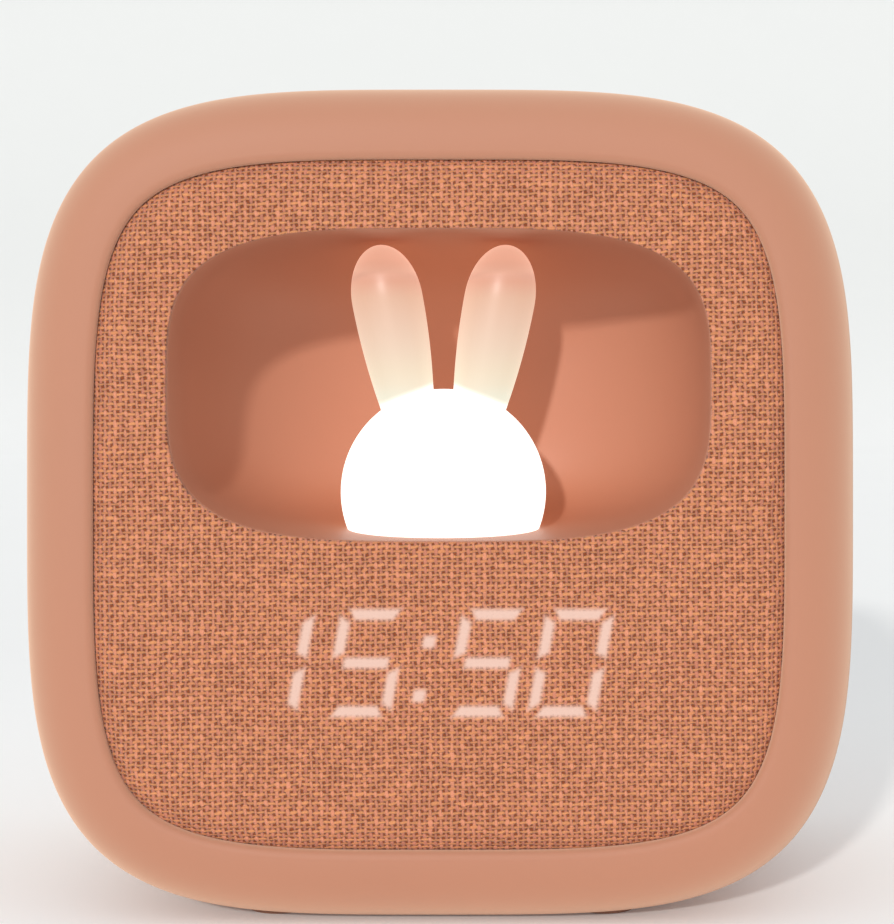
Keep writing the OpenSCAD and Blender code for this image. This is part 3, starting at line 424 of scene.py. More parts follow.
def spoke(angle, start, end, width):
    """A short bar that points away from the middle at the angle."""
    along, side = np.array([math.cos(angle), math.sin(angle)]), np.array([-math.sin(angle), math.cos(angle)])
    return [along * r + side * w * width / 2 for r, w in ((start, -1), (end, -1), (end, 1), (start, 1))]


circle = arc((0, 0), (0.75, 0.75), 0, 345, 24)
bell = [(-1.7, -0.9), (-1.2, -0.4), (-1.1, 0.4), (-0.8, 1.1), (0.0, 1.5)]
bell += [(-x, z) for x, z in bell[-2::-1]]
cross = [(1.5, 0.3), (0.3, 0.3), (0.3, 1.5)]
cross += [(-z, x) for x, z in cross]
cross += [(-x, -z) for x, z in cross]
marks = {
    "time": [bar_outline(0.4, 1.3, 0, 0.55), bar_outline(0.55, 0.4, -0.55, 0)],
    "alarm": [bell, arc((0, -1.45), (0.35, 0.35), 0, 330, 12)],
    "light": [circle] + [spoke(a, 1.15, 1.8, 0.35) for a in np.radians(np.arange(0, 360, 45))],
    "plus": [cross],
    "minus": [bar_outline(3.0, 0.6)],
}
print("marks:", {name: len(parts) for name, parts in marks.items()})

# %% Push buttons
STEM_R, FLANGE_R, BUTTON_R, EDGE_R = 1.8, 5.8, 4.6, 0.55
STEM_FRONT, FLANGE_FRONT, FLANGE_BACK, BUTTON_TOP, DISH = 77.5, 79.9, 81.4, 84.6, 0.3
DIAL_IN, DIAL_OUT = 1.75, 2.15
rounded = arc((BUTTON_R - EDGE_R, BUTTON_TOP - EDGE_R), (EDGE_R, EDGE_R), 0, 90, 8)
dish_r = np.linspace(BUTTON_R - EDGE_R - 0.15, 0.05, 10)
dish = [(r, BUTTON_TOP - DISH * (1 - (r / dish_r[0]) ** 2)) for r in dish_r]
button_profile = [(0.05, STEM_FRONT), (STEM_R, STEM_FRONT), (STEM_R, FLANGE_FRONT), (FLANGE_R, FLANGE_FRONT),
                  (FLANGE_R, FLANGE_BACK), (BUTTON_R, FLANGE_BACK)] + rounded + dish
buttons = {}
for name, outlines in marks.items():
    low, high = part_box("button_" + name)
    middle = ((low[0] + high[0]) * 500, (low[2] + high[2]) * 500)
    pieces = [turned("cap", button_profile, middle)] + [raised(outline, middle) for outline in outlines]
    if name == "time":
        ring = [(DIAL_IN, MARK_LOW), (DIAL_OUT, MARK_LOW), (DIAL_OUT, MARK_TOP), (DIAL_IN, MARK_TOP)]
        pieces.append(turned("dial", ring, middle, 48, 30, looped=True))
    buttons[name] = wear(joined("cap_" + name, pieces), name + "_button", "button_plastic", "button_" + name)
print("buttons at", [round(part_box("button_" + name)[0][0], 4) for name in buttons])

# %% Slide knob
low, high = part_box("slide_knob")
knob_middle = ((low[0] + high[0]) * 500, (low[2] + high[2]) * 500)
KNOB_POWER, GRIP_LOW, GRIP_TOP = 9.0, 84.0, 84.6
# Half width, half height and depth of each step: the tongue in the switch, the shield behind the slot and the
# grip.
knob_steps = [(0.9, 0.9, 73.9), (0.9, 0.9, 79.9), (7.2, 3.2, 79.9), (7.2, 3.2, 81.3),
              (2.3, 1.6, 81.3), (2.3, 1.6, 83.9), (2.2, 1.5, 84.1), (2.0, 1.3, 84.2)]
knob_rings = [at_depth(oval(a, b, KNOB_POWER, 0, 64), depth, knob_middle) for a, b, depth in knob_steps]
knob = loft("knob", np.array(knob_rings))
grips = [raised(bar_outline(0.4, 2.3), (knob_middle[0] + x, knob_middle[1]), GRIP_LOW, GRIP_TOP)
         for x in (-1.2, -0.4, 0.4, 1.2)]
slider = wear(joined("slide_grip", [knob] + grips), "alarm_slider", "button_plastic", "slide_knob")
print("slide knob:", len(slider.data.polygons), "faces")

# %% [markdown]
# ## Materials
# A material is a small program. To keep it readable, a number that flows through the nodes is wrapped in a
# class, so that a sum or product written in Python adds the Math node that does it. Long effects, and those
# that more than one material uses, are node groups. They put out only values and colours.

# %% Arithmetic with nodes
class Flow:
    """A number that flows through a node tree. Arithmetic on it adds Math nodes to the tree."""

    def __init__(self, tree, socket):
        self.tree, self.socket = tree, socket

    def math(self, operation, *others):
        node = self.tree.nodes.new("ShaderNodeMath")
        node.operation = operation
        for slot, value in enumerate((self,) + others):
            if isinstance(value, Flow):
                self.tree.links.new(value.socket, node.inputs[slot])
            else:
                node.inputs[slot].default_value = value
        return Flow(self.tree, node.outputs[0])

    def __add__(self, other):
        return self.math("ADD", other)

    def __sub__(self, other):
        return self.math("SUBTRACT", other)

    def __mul__(self, other):
        return self.math("MULTIPLY", other)

    def smooth(self, low, high):
        """0 below low and 1 above high, with a smooth turn between them."""
        node = self.tree.nodes.new("ShaderNodeMapRange")
        node.interpolation_type = "SMOOTHSTEP"
        self.tree.links.new(self.socket, node.inputs["Value"])
        node.inputs["From Min"].default_value, node.inputs["From Max"].default_value = low, high
        return Flow(self.tree, node.outputs["Result"])


def group(name, inputs, outputs):
    """A new node group, with its inputs and outputs as lists of name, kind and value."""
    made = bpy.data.node_groups.new(name, "ShaderNodeTree")
    for label, kind, value in inputs:
        made.interface.new_socket(label, in_out="INPUT", socket_type="NodeSocket" + kind).default_value = value
    for label, kind in outputs:
        made.interface.new_socket(label, in_out="OUTPUT", socket_type="NodeSocket" + kind)
    source, result = made.nodes.new("NodeGroupInput"), made.nodes.new("NodeGroupOutput")
    return made, {i.name: Flow(made, i) for i in source.outputs if i.name}, result


def put(tree, name, **values):
    """A node of the tree with its inputs set or linked by name, where _ in a name stands for a space."""
    if name in bpy.data.node_groups:
        node = tree.nodes.new("ShaderNodeGroup")
        node.node_tree = bpy.data.node_groups[name]
    else:
        node = tree.nodes.new("ShaderNode" + name)
    for key, value in values.items():
        socket = node.inputs[key.replace("_", " ")]
        if isinstance(value, Flow):
            tree.links.new(value.socket, socket)
        elif isinstance(value, bpy.types.NodeSocket):
            tree.links.new(value, socket)
        else:
            socket.default_value = value
    return node


def blend(tree, share, first, second, mode="MIX"):
    """A Mix node for colours: first where share is 0 and second where it is 1."""
    node = tree.nodes.new("ShaderNodeMix")
    node.data_type, node.blend_type = "RGBA", mode
    for socket, value in zip([node.inputs[i] for i in (0, 6, 7)], (share, first, second)):
        value = value.socket if isinstance(value, Flow) else value
        if isinstance(value, bpy.types.NodeSocket):
            tree.links.new(value, socket)
        else:
            socket.default_value = value if not hasattr(value, "__len__") else (*value[:3], 1)
    return node.outputs[2]


def axes(tree, vector):
    """The three numbers of a vector in metres, as millimetres."""
    node = put(tree, "SeparateXYZ", Vector=vector)
    return [Flow(tree, s) * 1000.0 for s in node.outputs]


def scaled(tree, vector, amount):
    """A colour or place times a number that flows."""
    node = put(tree, "VectorMath", Vector=vector)
    node.operation = "SCALE"
    tree.links.new(amount.socket, node.inputs["Scale"])
    return node.outputs["Vector"]


def noise(tree, vector, **values):
    """The grey value of a noise, between 0 and 1 and about 0.5 on average."""
    return Flow(tree, put(tree, "TexNoise", Vector=vector, **values).outputs["Fac"])


def link_outputs(tree, node, surface, *pairs):
    """Links outputs of a node to inputs of the surface, by their names."""
    for output, socket in pairs:
        tree.links.new(node.outputs[output], surface.inputs[socket])


print("node helpers are ready")

# %% [markdown]
# ## Moulded plastic
# Moulded plastic is never one flat colour. It has a fine grain from the mould, a slow drift of tone and a
# roughness that wanders with handling. One group makes all three from the place on the piece, and each
# plastic asks for its own grain size and strength.

# %% Grain group
grain, ask, result = group(
    "moulded_grain",
    [("Place", "Vector", (0, 0, 0)), ("Colour", "Color", (0.5, 0.5, 0.5, 1)), ("Grain Size", "Float", 2200.0),
     ("Drift", "Float", 0.06), ("Roughness", "Float", 0.5)],
    [("Colour", "Color"), ("Roughness", "Float"), ("Height", "Float")],
)
fine = noise(grain, ask["Place"], Scale=ask["Grain Size"], Detail=3.0, Roughness=0.6)
slow = noise(grain, ask["Place"], Scale=28.0, Detail=4.0, Roughness=0.55)
tone = (slow - 0.5) * ask["Drift"] * 2.0 + (fine - 0.5) * ask["Drift"] + 1.0
rough = ask["Roughness"] + (slow - 0.5) * 0.12 + (fine - 0.5) * 0.08
grain.links.new(scaled(grain, ask["Colour"], tone), result.inputs["Colour"])
grain.links.new(rough.socket, result.inputs["Roughness"])
grain.links.new(fine.socket, result.inputs["Height"])
print("grain group:", len(grain.nodes), "nodes")


# %% A material with the grain
def material(name):
    """An empty Principled material, and the place on the piece in its own coordinates."""
    made = bpy.data.materials.new(name)
    made.use_nodes = True
    tree = made.node_tree
    tree.nodes.clear()
    surface = tree.nodes.new("ShaderNodeBsdfPrincipled")
    out = tree.nodes.new("ShaderNodeOutputMaterial")
    tree.links.new(surface.outputs[0], out.inputs["Surface"])
    place = tree.nodes.new("ShaderNodeTexCoord").outputs["Object"]
    return made, tree, surface, place


def plastic(name, colour, roughness=0.5, size=2200.0, drift=0.06, bump=0.02, **constants):
    """A moulded plastic. bump is the height of the grain in millimetres."""
    made, tree, surface, place = material(name)
    skin = put(tree, "moulded_grain", Place=place, Colour=(*colour, 1), Grain_Size=size, Drift=drift,
               Roughness=roughness)
    relief = put(tree, "Bump", Strength=1.0, Distance=bump / 1000, Height=skin.outputs["Height"])
    link_outputs(tree, skin, surface, ("Colour", "Base Color"), ("Roughness", "Roughness"))
    link_outputs(tree, relief, surface, ("Normal", "Normal"))
    for key, value in constants.items():
        surface.inputs[key.replace("_", " ")].default_value = value
    return made


def dress(made, *pieces):
    """Puts one material on new pieces or on solids named by their node."""
    for piece in pieces:
        piece = nodes[piece] if isinstance(piece, str) else piece
        piece.data.materials.clear()
        piece.data.materials.append(made)


body_skin = plastic("body_soft_touch", (0.40, 0.152, 0.084), 0.6, 2600, 0.03, 0.006, Sheen_Weight=0.8,
                    Sheen_Roughness=0.7, Sheen_Tint=(1.0, 0.72, 0.52, 1))
rear_skin = plastic("rear_cover_plastic", (0.44, 0.20, 0.12), 0.58, 2000, 0.05, 0.02)
button_skin = plastic("button_plastic", (0.50, 0.24, 0.155), 0.5, 2600, 0.04, 0.008)
niche_skin = plastic("niche_plastic", (0.46, 0.202, 0.125), 0.5, 3000, 0.02, 0.003)
panel_skin = plastic("panel_plastic", (0.20, 0.075, 0.045), 0.55, 1800, 0.06, 0.02)
white_skin = plastic("white_plastic", (0.80, 0.78, 0.73), 0.45, 2000, 0.04, 0.01)
dark_skin = plastic("dark_plastic", (0.022, 0.022, 0.025), 0.48, 2400, 0.20, 0.01)
plunger_skin = plastic("plunger_plastic", (0.72, 0.68, 0.60), 0.40, 2800, 0.05, 0.006)
cone_skin = plastic("speaker_paper", (0.028, 0.026, 0.025), 0.9, 900, 0.35, 0.08)
foam_skin = plastic("gasket_foam", (0.020, 0.020, 0.021), 0.95, 1500, 0.40, 0.15)
sleeve_skin = plastic("cell_sleeve", (0.045, 0.19, 0.50), 0.28, 700, 0.06, 0.02, Coat_Weight=0.4)
rubber_skin = plastic("foot_rubber", (0.30, 0.14, 0.09), 0.78, 1600, 0.15, 0.03)
dress(body_skin, body_shell)
dress(niche_skin, niche)
dress(rear_skin, "rear_cover")
dress(button_skin, slider, *buttons.values())
dress(panel_skin, "front_panel")
dress(white_skin, "lamp_holder", "display_frame", "battery_cradle", "lead_sockets")
dress(dark_skin, "switch_bodies", "slide_switch", "controller_chip", "board_chips")
dress(plunger_skin, *["plunger_" + name for name in marks])
dress(cone_skin, "speaker_cone")
dress(foam_skin, "speaker_gasket")
dress(sleeve_skin, "battery_cell")
dress(rubber_skin, rubber)
lead_colours = {"lamp": (0.80, 0.80, 0.77), "display": (0.42, 0.42, 0.44), "battery": (0.45, 0.03, 0.02),
                "speaker": (0.02, 0.02, 0.022)}
for lead, colour in lead_colours.items():
    dress(plastic(lead + "_lead_sleeve", colour, 0.38, 1200, 0.08, 0.01), lead + "_lead")
print("moulded plastics are on:", len(bpy.data.materials), "materials")

# %% [markdown]
# ## Metal and boards
# Plated steel shows fine scratches that run mostly one way, so its noise is stretched along one axis. A
# circuit board is lacquer over copper: where a trace runs below, it is lighter and stands up a little.

# %% Scratched metal group
scratches, ask, result = group(
    "scratched_metal",
    [("Place", "Vector", (0, 0, 0)), ("Colour", "Color", (0.6, 0.6, 0.6, 1)), ("Roughness", "Float", 0.3)],
    [("Colour", "Color"), ("Roughness", "Float"), ("Height", "Float")],
)
stretched = put(scratches, "VectorMath", Vector=ask["Place"])
stretched.operation = "MULTIPLY"
stretched.inputs[1].default_value = (400.0, 400.0, 5200.0)
lines = noise(scratches, stretched.outputs[0], Scale=1.0, Detail=3.0)
cloud = noise(scratches, ask["Place"], Scale=160.0, Detail=3.0)
tone = (cloud - 0.5) * 0.35 + (lines - 0.5) * 0.2 + 1.0
rough = ask["Roughness"] + (cloud - 0.5) * 0.25 + (lines - 0.5) * 0.15
scratches.links.new(scaled(scratches, ask["Colour"], tone), result.inputs["Colour"])
scratches.links.new(rough.socket, result.inputs["Roughness"])
scratches.links.new(lines.socket, result.inputs["Height"])
print("metal group:", len(scratches.nodes), "nodes")


# %% Metals
def metal(name, colour, roughness, metallic=1.0):
    """Plated or painted metal with fine scratches. metallic is 0 for paint."""
    made, tree, surface, place = material(name)
    skin = put(tree, "scratched_metal", Place=place, Colour=(*colour, 1), Roughness=roughness)
    relief = put(tree, "Bump", Strength=0.6, Distance=0.00001, Height=skin.outputs["Height"])
    link_outputs(tree, skin, surface, ("Colour", "Base Color"), ("Roughness", "Roughness"))
    link_outputs(tree, relief, surface, ("Normal", "Normal"))
    surface.inputs["Metallic"].default_value = metallic
    return made


dress(metal("screw_steel", (0.55, 0.55, 0.56), 0.32), *[name for name in nodes if name.endswith("_screws")])
dress(metal("socket_metal", (0.68, 0.67, 0.65), 0.24), "usb_socket", "clock_crystal")
dress(metal("speaker_paint", (0.045, 0.045, 0.05), 0.5, 0.0), "speaker_basket")
dress(metal("magnet_ferrite", (0.10, 0.10, 0.105), 0.62, 0.3), "speaker_magnet")
print("metals are on")

# %% Printed board group
print_group, ask, result = group(
    "board_print",
    [("Place", "Vector", (0, 0, 0)), ("Lacquer", "Color", (0.02, 0.1, 0.05, 1)),
     ("Trace", "Color", (0.05, 0.2, 0.1, 1))],
    [("Colour", "Color"), ("Height", "Float")],
)
x, _, z = axes(print_group, ask["Place"].socket)
masks = []
for along, across, shift in ((x, z, 0.0), (z, x, 7.0)):
    lane, step = across * 0.8, along * 0.11 + shift
    cell = put(print_group, "CombineXYZ", X=lane.math("FLOOR"), Y=step.math("FLOOR"), Z=shift)
    chance = Flow(print_group, put(print_group, "TexWhiteNoise", Vector=cell.outputs[0]).outputs["Value"])
    line = ((lane.math("FRACT") - 0.5).math("ABSOLUTE") * -1.0).smooth(-0.2, -0.14)
    masks.append(line * chance.math("GREATER_THAN", 0.55))
trace = masks[0].math("MAXIMUM", masks[1])
lacquer = blend(print_group, trace, ask["Lacquer"].socket, ask["Trace"].socket)
print_group.links.new(lacquer, result.inputs["Colour"])
print_group.links.new(trace.socket, result.inputs["Height"])
print("board group:", len(print_group.nodes), "nodes")


# %% Boards
def board(name, lacquer, trace):
    """A printed board: the print's colours under a thin haze of grain."""
    made, tree, surface, place = material(name)
    skin = put(tree, "board_print", Place=place, Lacquer=(*lacquer, 1), Trace=(*trace, 1))
    haze = put(tree, "moulded_grain", Place=place, Colour=skin.outputs["Colour"], Grain_Size=900.0, Drift=0.08,
               Roughness=0.35)
    relief = put(tree, "Bump", Strength=0.5, Distance=0.00004, Height=skin.outputs["Height"])
    link_outputs(tree, haze, surface, ("Colour", "Base Color"), ("Roughness", "Roughness"))
    link_outputs(tree, relief, surface, ("Normal", "Normal"))
    return made


dress(board("green_board", (0.018, 0.11, 0.05), (0.04, 0.20, 0.09)), "main_board", "display_board")
dress(board("white_board", (0.78, 0.78, 0.75), (0.70, 0.70, 0.67)), "lamp_board")
print("boards are on")

# %% [markdown]
# ## Woven cloth
# The cloth is a plain weave: at each crossing one yarn passes over the other, and at the next crossing under
# it. The upright yarns are salmon and every second one is duller, and the level yarns are light orange. Real
# yarns as geometry would take millions of faces, so the weave is worked out in the material, from the place on
# the flat cloth. The height of a yarn is a flat-topped hump across it plus a cosine along it, and the highest
# yarn shows, so the floats and the dark holes at the corners come out of the heights by themselves. Each yarn
# also sways a little to the side, a quarter of a turn after its height, which leans the floats and makes every
# second hole larger. Noise bends the yarns and changes their thickness, as in a slub yarn.

# %% Weave group
PITCH_ACROSS, PITCH_UP = 0.838, 0.733
# How far the yarns wander in X and Z, in short bends and in long ones.
SHORT_BEND, LONG_BEND = (0.6, 0.55), (0.8, 0.7)
# A slub is a noise drawn out along the yarn, and the odd steps give every yarn its own line of it.
SLUB_DRAWN, YARN_STEP_V, YARN_STEP_H = 0.45, 7.31, 5.17
weave, ask, result = group(
    "plain_weave",
    [("Place", "Vector", (0, 0, 0)), ("Across", "Float", PITCH_ACROSS), ("Up", "Float", PITCH_UP)],
    [("Height", "Float"), ("Upright", "Float"), ("Deep Upright", "Float"), ("Deep Level", "Float"),
     ("Hole", "Float"), ("Tone", "Float")],
)
bends = []
for scale in (700.0, 90.0):
    clouds = put(weave, "TexNoise", Vector=ask["Place"], Scale=scale, Detail=2.0)
    bends.append(put(weave, "SeparateXYZ", Vector=clouds.outputs["Color"]).outputs)


def wandered(place, axis):
    """A place along one axis, moved by both bends."""
    for bend, amount in zip(bends, (SHORT_BEND, LONG_BEND)):
        place = place + (Flow(weave, bend[axis]) - 0.5) * amount[axis]
    return place


x, z, _ = axes(weave, ask["Place"].socket)
x, z = wandered(x, 0).math("DIVIDE", ask["Across"]), wandered(z, 1).math("DIVIDE", ask["Up"])
column, row = x.math("FLOOR"), z.math("FLOOR")
across, up = x.math("FRACT") - 0.5, z.math("FRACT") - 0.5
deep_v = (column * 0.5).math("FRACT").math("GREATER_THAN", 0.25)
deep_h = (row * 0.5).math("FRACT").math("GREATER_THAN", 0.25)
along_upright = put(weave, "CombineXYZ", X=column * YARN_STEP_V, Y=z * SLUB_DRAWN)
along_level = put(weave, "CombineXYZ", X=x * SLUB_DRAWN, Y=row * YARN_STEP_H, Z=9.0)
slub_v = noise(weave, along_upright.outputs[0], Scale=1.0, Detail=1.0)
slub_h = noise(weave, along_level.outputs[0], Scale=1.0, Detail=1.0)
crossing = put(weave, "CombineXYZ", X=column, Y=row)
chance = Flow(weave, put(weave, "TexWhiteNoise", Vector=crossing.outputs[0]).outputs["Value"])
print("yarn pitch:", PITCH_ACROSS, "by", PITCH_UP, "mm")

# %% Heights of the yarns
HUMP, WAVE, LOWEST = 0.6, 0.4, -1.2
THINNEST, SLUB, UNEVEN, SWELL = 0.085, 0.27, 0.06, 0.04
SWAY_V, SWAY_H, SINK_V, SINK_H = 0.05, 0.06, 0.15, 0.03


def thickness(slub, wave):
    """Half the thickness of a yarn as a share of the pitch: thicker in a slub, and where it floats on top."""
    return slub * SLUB + THINNEST + chance * UNEVEN + wave * SWELL


def yarn(offset, thick, wave, sink):
    """HUMP * (1 - (offset / thick)^4) + WAVE * wave - sink: flat on top, steep at the sides."""
    ratio = offset.math("DIVIDE", thick)
    square = ratio * ratio
    return (square * square) * -HUMP + wave * WAVE - sink + HUMP


turn_v, turn_h = (z - 0.5 + column) * math.pi, (x - 0.5 + row) * math.pi
wave_v, wave_h = turn_v.math("COSINE"), turn_h.math("COSINE") * -1.0
upright = yarn(across + turn_v.math("SINE") * SWAY_V, thickness(slub_v, wave_v), wave_v, deep_v * SINK_V)
level = yarn(up + turn_h.math("SINE") * SWAY_H, thickness(slub_h, wave_h), wave_h, deep_h * SINK_H)
height = upright.math("MAXIMUM", level).math("MAXIMUM", LOWEST)
made = {
    "Height": height, "Upright": (upright - level).smooth(-0.08, 0.08), "Deep Upright": deep_v,
    "Deep Level": deep_h, "Hole": (height * -1.0).smooth(0.35, 1.00),
    "Tone": chance * 0.7 + slub_v * 0.3 + slub_h * 0.3,
}
for label, flow in made.items():
    weave.links.new(flow.socket, result.inputs[label])
print("weave group:", len(weave.nodes), "nodes")

# %% [markdown]
# ## Digits that shine through the cloth
# The time is shown by lit bars behind the cloth, so it has no edge of its own: the light only tints the yarns.
# Each lit bar is a box measured by its distance function, and the smallest distance of all bars gives a mask
# with a soft edge. The bars lean, so the place is sheared first. The cloth is no lamp, so the light is painted
# on it: as emission, as a lighter base colour inside the bars, and as a faint painted halo round them. The
# weave still shows in it.

# %% Lit bars group
DIGIT_X, DIGIT_Z, DIGIT_H, DIGIT_W = (-25.7, -11.2, 7.5, 20.4), 41.1, 14.95, 8.9
BAR_T, LEAN = 1.65, math.tan(math.radians(10.5))
LEVEL_END, LEVEL_MITRE = 3.45, 0.56
UPRIGHT_START, UPRIGHT_END, START_MITRE, END_MITRE = 1.15, 6.75, 0.45, 0.6
START_EASE, END_EASE, CORNER = 0.85, 0.8, 0.6
COLON_X, COLON_RISE, COLON_SINK, COLON_R = -2.05, 4.15, 0.9, 0.95
SHAPES = {"1": "bc", "5": "afgcd", "0": "abcdef"}
SIDES = {"a": (0, 1), "d": (0, -1), "f": (-1, 1), "b": (1, 1), "e": (-1, -1), "c": (1, -1)}


def larger(*flows):
    """The largest of some distances, rounded where two of them meet."""
    result = flows[0]
    for flow in flows[1:]:
        result = result.math("SMOOTH_MAX", flow, CORNER)
    return result


def bar_distance(x, z, letter):
    """Distance to one bar, as the largest of its sides' distances. The outer bars have slanted ends, as on a
    moulded display, so that each is longer along its outer side. A slanted side's distance is a little too
    large, and END_EASE and START_EASE bring it back."""
    if letter == "g":
        return larger(z.math("ABSOLUTE") - BAR_T / 2, x.math("ABSOLUTE") - LEVEL_END)
    side, up = SIDES[letter]
    if side == 0:
        off = z * up - DIGIT_H / 2
        return larger(off.math("ABSOLUTE") - BAR_T / 2, x.math("ABSOLUTE") - LEVEL_END - off * LEVEL_MITRE)
    off, along = x * side - DIGIT_W / 2, z * up
    start = along * -1.0 + UPRIGHT_START - off * START_MITRE
    end = along - UPRIGHT_END - off * END_MITRE
    return larger(off.math("ABSOLUTE") - BAR_T / 2, start * START_EASE, end * END_EASE)


lit_bars, ask, result = group("lit_bars", [("Place", "Vector", (0, 0, 0))], [("Distance", "Float")])
x, z, _ = axes(lit_bars, ask["Place"].socket)
z = z - DIGIT_Z
leaned = x - z * LEAN
distance = None
for middle, digit in zip(DIGIT_X, "1550"):
    for letter in SHAPES[digit]:
        bar = bar_distance(leaned - middle, z, letter)
        distance = bar if distance is None else distance.math("MINIMUM", bar)
for side in (-1, 1):
    dx, dz = leaned - COLON_X, z - (side * COLON_RISE - COLON_SINK)
    dot = (dx * dx * dx * dx + dz * dz * dz * dz).math("POWER", 0.25) - COLON_R
    distance = distance.math("MINIMUM", dot)
lit_bars.links.new(distance.socket, result.inputs["Distance"])
print("lit bars group:", len(lit_bars.nodes), "nodes")

# %% The cloth's material
cloth_made, tree, surface, _ = material("woven_cloth")
place = put(tree, "UVMap").outputs["UV"]
threads = put(tree, "plain_weave", Place=place)
bars = Flow(tree, put(tree, "lit_bars", Place=place).outputs["Distance"])
out = {s.name: Flow(tree, s) for s in threads.outputs}
fuzz = noise(tree, place, Scale=5200.0, Detail=3.0, Roughness=0.7)
warp = blend(tree, out["Deep Upright"], (0.625, 0.242, 0.142), (0.52, 0.190, 0.118))
weft = blend(tree, out["Deep Level"], (0.615, 0.250, 0.105), (0.575, 0.222, 0.096))
yarns = blend(tree, out["Upright"], weft, warp)
# The low places between the yarns turn dark: partly the dark panel seen through the gaps, partly painted shade
# in them.
shaded = blend(tree, out["Hole"], yarns, (0.265, 0.060, 0.017))
fibres = scaled(tree, shaded, fuzz * 0.8 + out["Tone"] * 0.34 + 0.31)
feathered = bars + out["Height"] * -0.03 + (fuzz - 0.5) * 0.15
core = (feathered * -1.0).smooth(-0.55, 0.50)
# Painted light: inside the lit bars the base colour turns light pink.
tree.links.new(blend(tree, core, fibres, (0.51, 0.325, 0.262)), surface.inputs["Base Color"])
relief_height = (out["Height"] + fuzz * 0.35) * (core * -0.9 + 1.0)
relief = put(tree, "Bump", Strength=1.0, Distance=0.00015, Height=relief_height)
tree.links.new(relief.outputs[0], surface.inputs["Normal"])
for socket, value in (("Roughness", 0.88), ("Sheen Weight", 0.2), ("Specular IOR Level", 0.25)):
    surface.inputs[socket].default_value = value
# A faint painted halo of light round the bars.
halo = (bars * -1.0).smooth(-3.2, 0.3)
glow = blend(tree, core, (1.0, 0.6, 0.45), (1.0, 0.78, 0.68))
tree.links.new(scaled(tree, glow, core * 0.19 + halo * halo * 0.03), surface.inputs["Emission Color"])
surface.inputs["Emission Strength"].default_value = 1.0
dress(cloth_made, cloth)
print("cloth material:", len(tree.nodes), "nodes")

# %% [markdown]
# ## Lamp shade
# The lamp board sits low in the head, so the head is the brightest part and the ears fade and redden towards
# their tips. A ramp over the height gives the colour of the light. Just below the tips it rises again: that is
# painted light, which fills the shadow that the niche's top edge throws across the ears. The shade is brighter
# where it is seen edge on: partly through more of the milky wall, partly painted light that makes up for the
# shading falling off at the ears' edges. Its back is thinner, and throws a warm glow on the niche.

# %% Lamp material
LAMP_BACK, LAMP_LOW, LAMP_RISE = FRONT + HEAD_DEPTH + 1.5, 56.0, 52.0
HEAD_GLOW, EDGE_GLOW, BACK_GLOW = (1.5, 1.4, 1.3), (0.20, 0.15, 0.12), (1.50, 1.06, 0.80)
lamp_made, tree, surface, place = material("milky_lamp")
x, y, z = axes(tree, place)
ramp = put(tree, "ValToRGB", Fac=(z - LAMP_LOW).math("DIVIDE", LAMP_RISE))
# The stops from 0.885 upwards are brighter than those below: painted light over the shadow of the niche's top
# edge on the ear tips.
stops = [
    (0.49, (0.60, 0.70, 0.58)), (0.53, (0.62, 0.635, 0.50)), (0.567, (0.62, 0.60, 0.46)),
    (0.65, (0.60, 0.505, 0.39)), (0.729, (0.58, 0.43, 0.325)), (0.80, (0.56, 0.365, 0.26)),
    (0.852, (0.545, 0.275, 0.192)), (0.868, (0.56, 0.29, 0.21)), (0.885, (0.66, 0.35, 0.25)),
    (0.909, (0.66, 0.325, 0.225)), (0.925, (0.69, 0.335, 0.23)), (0.99, (0.69, 0.345, 0.24)),
]
on_ramp = ramp.color_ramp.elements
on_ramp[0].position, on_ramp[1].position = stops[0][0], stops[-1][0]
for position, _ in stops[1:-1]:
    on_ramp.new(position)
for element, (position, colour) in zip(on_ramp, stops):
    element.position, element.color = position, (*colour, 1)
skin = put(tree, "moulded_grain", Place=place, Colour=(0.22, 0.12, 0.085, 1), Grain_Size=1800.0, Drift=0.02,
           Roughness=0.42)
link_outputs(tree, skin, surface, ("Colour", "Base Color"), ("Roughness", "Roughness"))
thin_back = (y - LAMP_BACK).smooth(0.0, 3.0)
behind, above = y - (FRONT + HEAD_DEPTH), z - HEAD_Z
on_ear = (x * x + behind * behind + above * above).math("SQRT").smooth(HEAD_R - 0.2, HEAD_R + 1.6)
seen = blend(tree, on_ear, HEAD_GLOW, ramp.outputs["Color"])
# Brighter where seen edge on: partly the longer path through the milky wall, partly painted light that makes
# up for the shading falling off at the ears' edges.
edge = Flow(tree, put(tree, "LayerWeight", Blend=0.5).outputs["Facing"])
seen = blend(tree, edge * on_ear, seen, EDGE_GLOW, "ADD")
tree.links.new(blend(tree, thin_back, seen, BACK_GLOW), surface.inputs["Emission Color"])
surface.inputs["Emission Strength"].default_value = 1.0
dress(lamp_made, rabbit)
print("lamp material is on")

# %% The display's milky bars and the lamps
bars_made, tree, surface, place = material("milky_bars")
on_piece = put(tree, "SeparateXYZ", Vector=place)
from_front = put(tree, "CombineXYZ", X=on_piece.outputs["X"], Y=on_piece.outputs["Z"])
bars = Flow(tree, put(tree, "lit_bars", Place=from_front.outputs[0]).outputs["Distance"])
skin = put(tree, "moulded_grain", Place=place, Colour=(0.82, 0.78, 0.72, 1), Grain_Size=1500.0, Drift=0.03,
           Roughness=0.3)
link_outputs(tree, skin, surface, ("Colour", "Base Color"), ("Roughness", "Roughness"))
glow = blend(tree, (bars * -1.0).smooth(-0.3, 0.1), (0, 0, 0), (0.9, 0.6, 0.5))
tree.links.new(glow, surface.inputs["Emission Color"])
surface.inputs["Emission Strength"].default_value = 1.0
dress(bars_made, "display_segments")
led_resin = plastic("led_resin", (0.85, 0.72, 0.22), 0.25, 1800, 0.05, 0.004, Coat_Weight=0.5)
dress(led_resin, "lamp_leds", "display_leds")
print("lit parts are on")

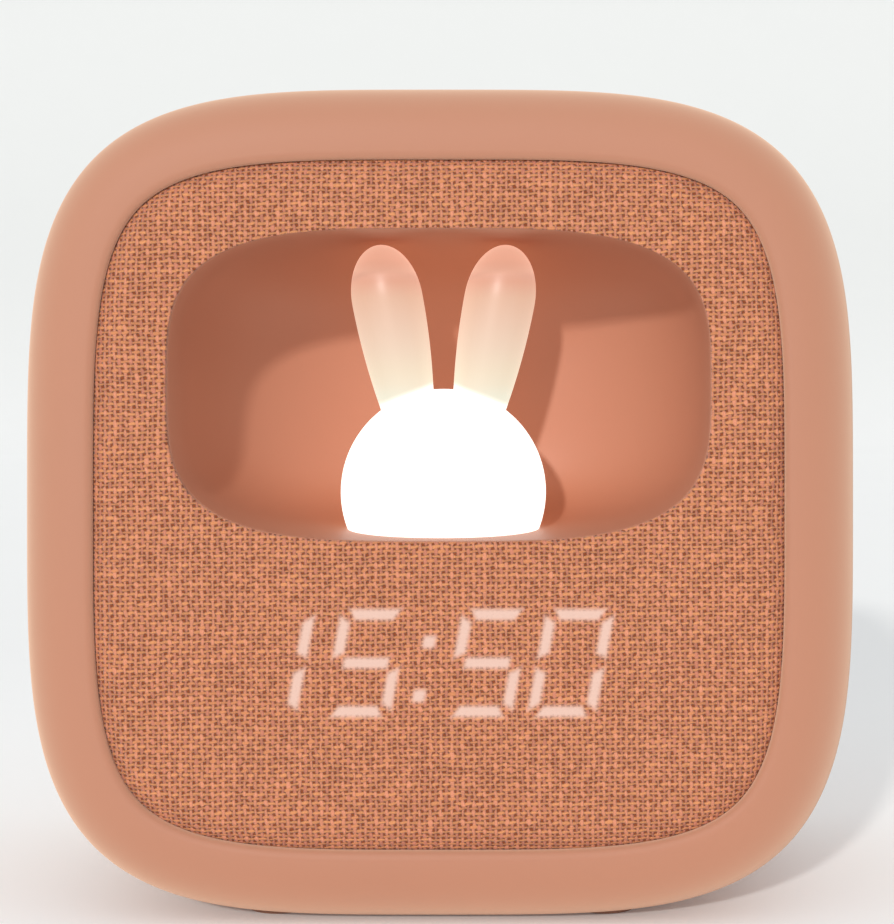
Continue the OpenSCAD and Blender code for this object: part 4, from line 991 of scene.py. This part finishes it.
# %% [markdown]
# ## Floor and light
# The clock stands on a pale sweep that curves up behind it, as in a product studio. Its colour grows darker
# further back and much darker up the wall: painted shade, where the light falls off. A slightly soft sun from
# the upper left front throws the main shadow, and a pale sky fills it in.

# %% Sweep
SWEEP_SIDE, SWEEP_FRONT, SWEEP_BACK, SWEEP_BEND, SWEEP_TOP = 3.0, -1.2, 1.3, 0.6, 3.0


def sweep():
    """Floor and wall as one sheet, in metres: level, then a quarter circle, then upright."""
    turn = np.radians(np.linspace(0, 90, 24))
    bend = np.stack([SWEEP_BACK + SWEEP_BEND * np.sin(turn), SWEEP_BEND * (1 - np.cos(turn))], 1)
    profile = np.vstack([[[SWEEP_FRONT, 0.0]], bend, [[SWEEP_BACK + SWEEP_BEND, SWEEP_TOP]]])
    x = np.tile([-SWEEP_SIDE, SWEEP_SIDE], len(profile))
    points = np.column_stack([x, np.repeat(profile, 2, 0)])
    row = np.arange(len(profile) - 1)[:, None] * 2
    mesh = bpy.data.meshes.new("sweep")
    mesh.from_pydata(points.tolist(), [], (row + np.array([0, 1, 3, 2])).tolist())
    mesh.shade_smooth()
    made = bpy.data.objects.new("sweep", mesh)
    bpy.context.scene.collection.objects.link(made)
    return made


floor = sweep()
floor_made, tree, surface, place = material("pale_floor")
_, away, rise = axes(tree, place)
# Painted shade: the floor darkens away from the clock, and paint darkens much more up the wall.
floor_shade_by_distance = blend(tree, away.smooth(-50.0, 300.0), (0.95, 0.96, 0.96), (0.85, 0.86, 0.86))
up_the_wall = rise.math("ABSOLUTE").math("POWER", 0.5).smooth(-4.0, 15.0)
paint = blend(tree, up_the_wall, floor_shade_by_distance, (0.60, 0.615, 0.61))
skin = put(tree, "moulded_grain", Place=place, Colour=paint, Grain_Size=400.0, Drift=0.006, Roughness=0.85)
tree.links.new(skin.outputs["Colour"], surface.inputs["Base Color"])
finish = (("Roughness", 0.9), ("Emission Color", (1.0, 1.0, 1.0, 1)), ("Emission Strength", 0.06))
for socket, value in finish:
    surface.inputs[socket].default_value = value
dress(floor_made, floor)
print("sweep is in place")


# %% Sun and sky
SUN_WAY = Vector((0.23, 1.0, -0.36))
sun = bpy.data.objects.new("sun", bpy.data.lights.new("sun", "SUN"))
sun.data.energy = 1.8
sun.data.angle = math.radians(3.0)
sun.data.color = (1.0, 0.97, 0.93)
sun.rotation_mode = "QUATERNION"
sun.rotation_quaternion = SUN_WAY.to_track_quat("-Z", "Y")
bpy.context.scene.collection.objects.link(sun)
world = bpy.data.worlds.new("sky")
world.use_nodes = True
background = world.node_tree.nodes["Background"]
background.inputs["Color"].default_value = (0.97, 0.98, 1.0, 1)
background.inputs["Strength"].default_value = 0.78
bpy.context.scene.world = world
bpy.context.scene.view_settings.view_transform = "Standard"
print("sun and sky are on")
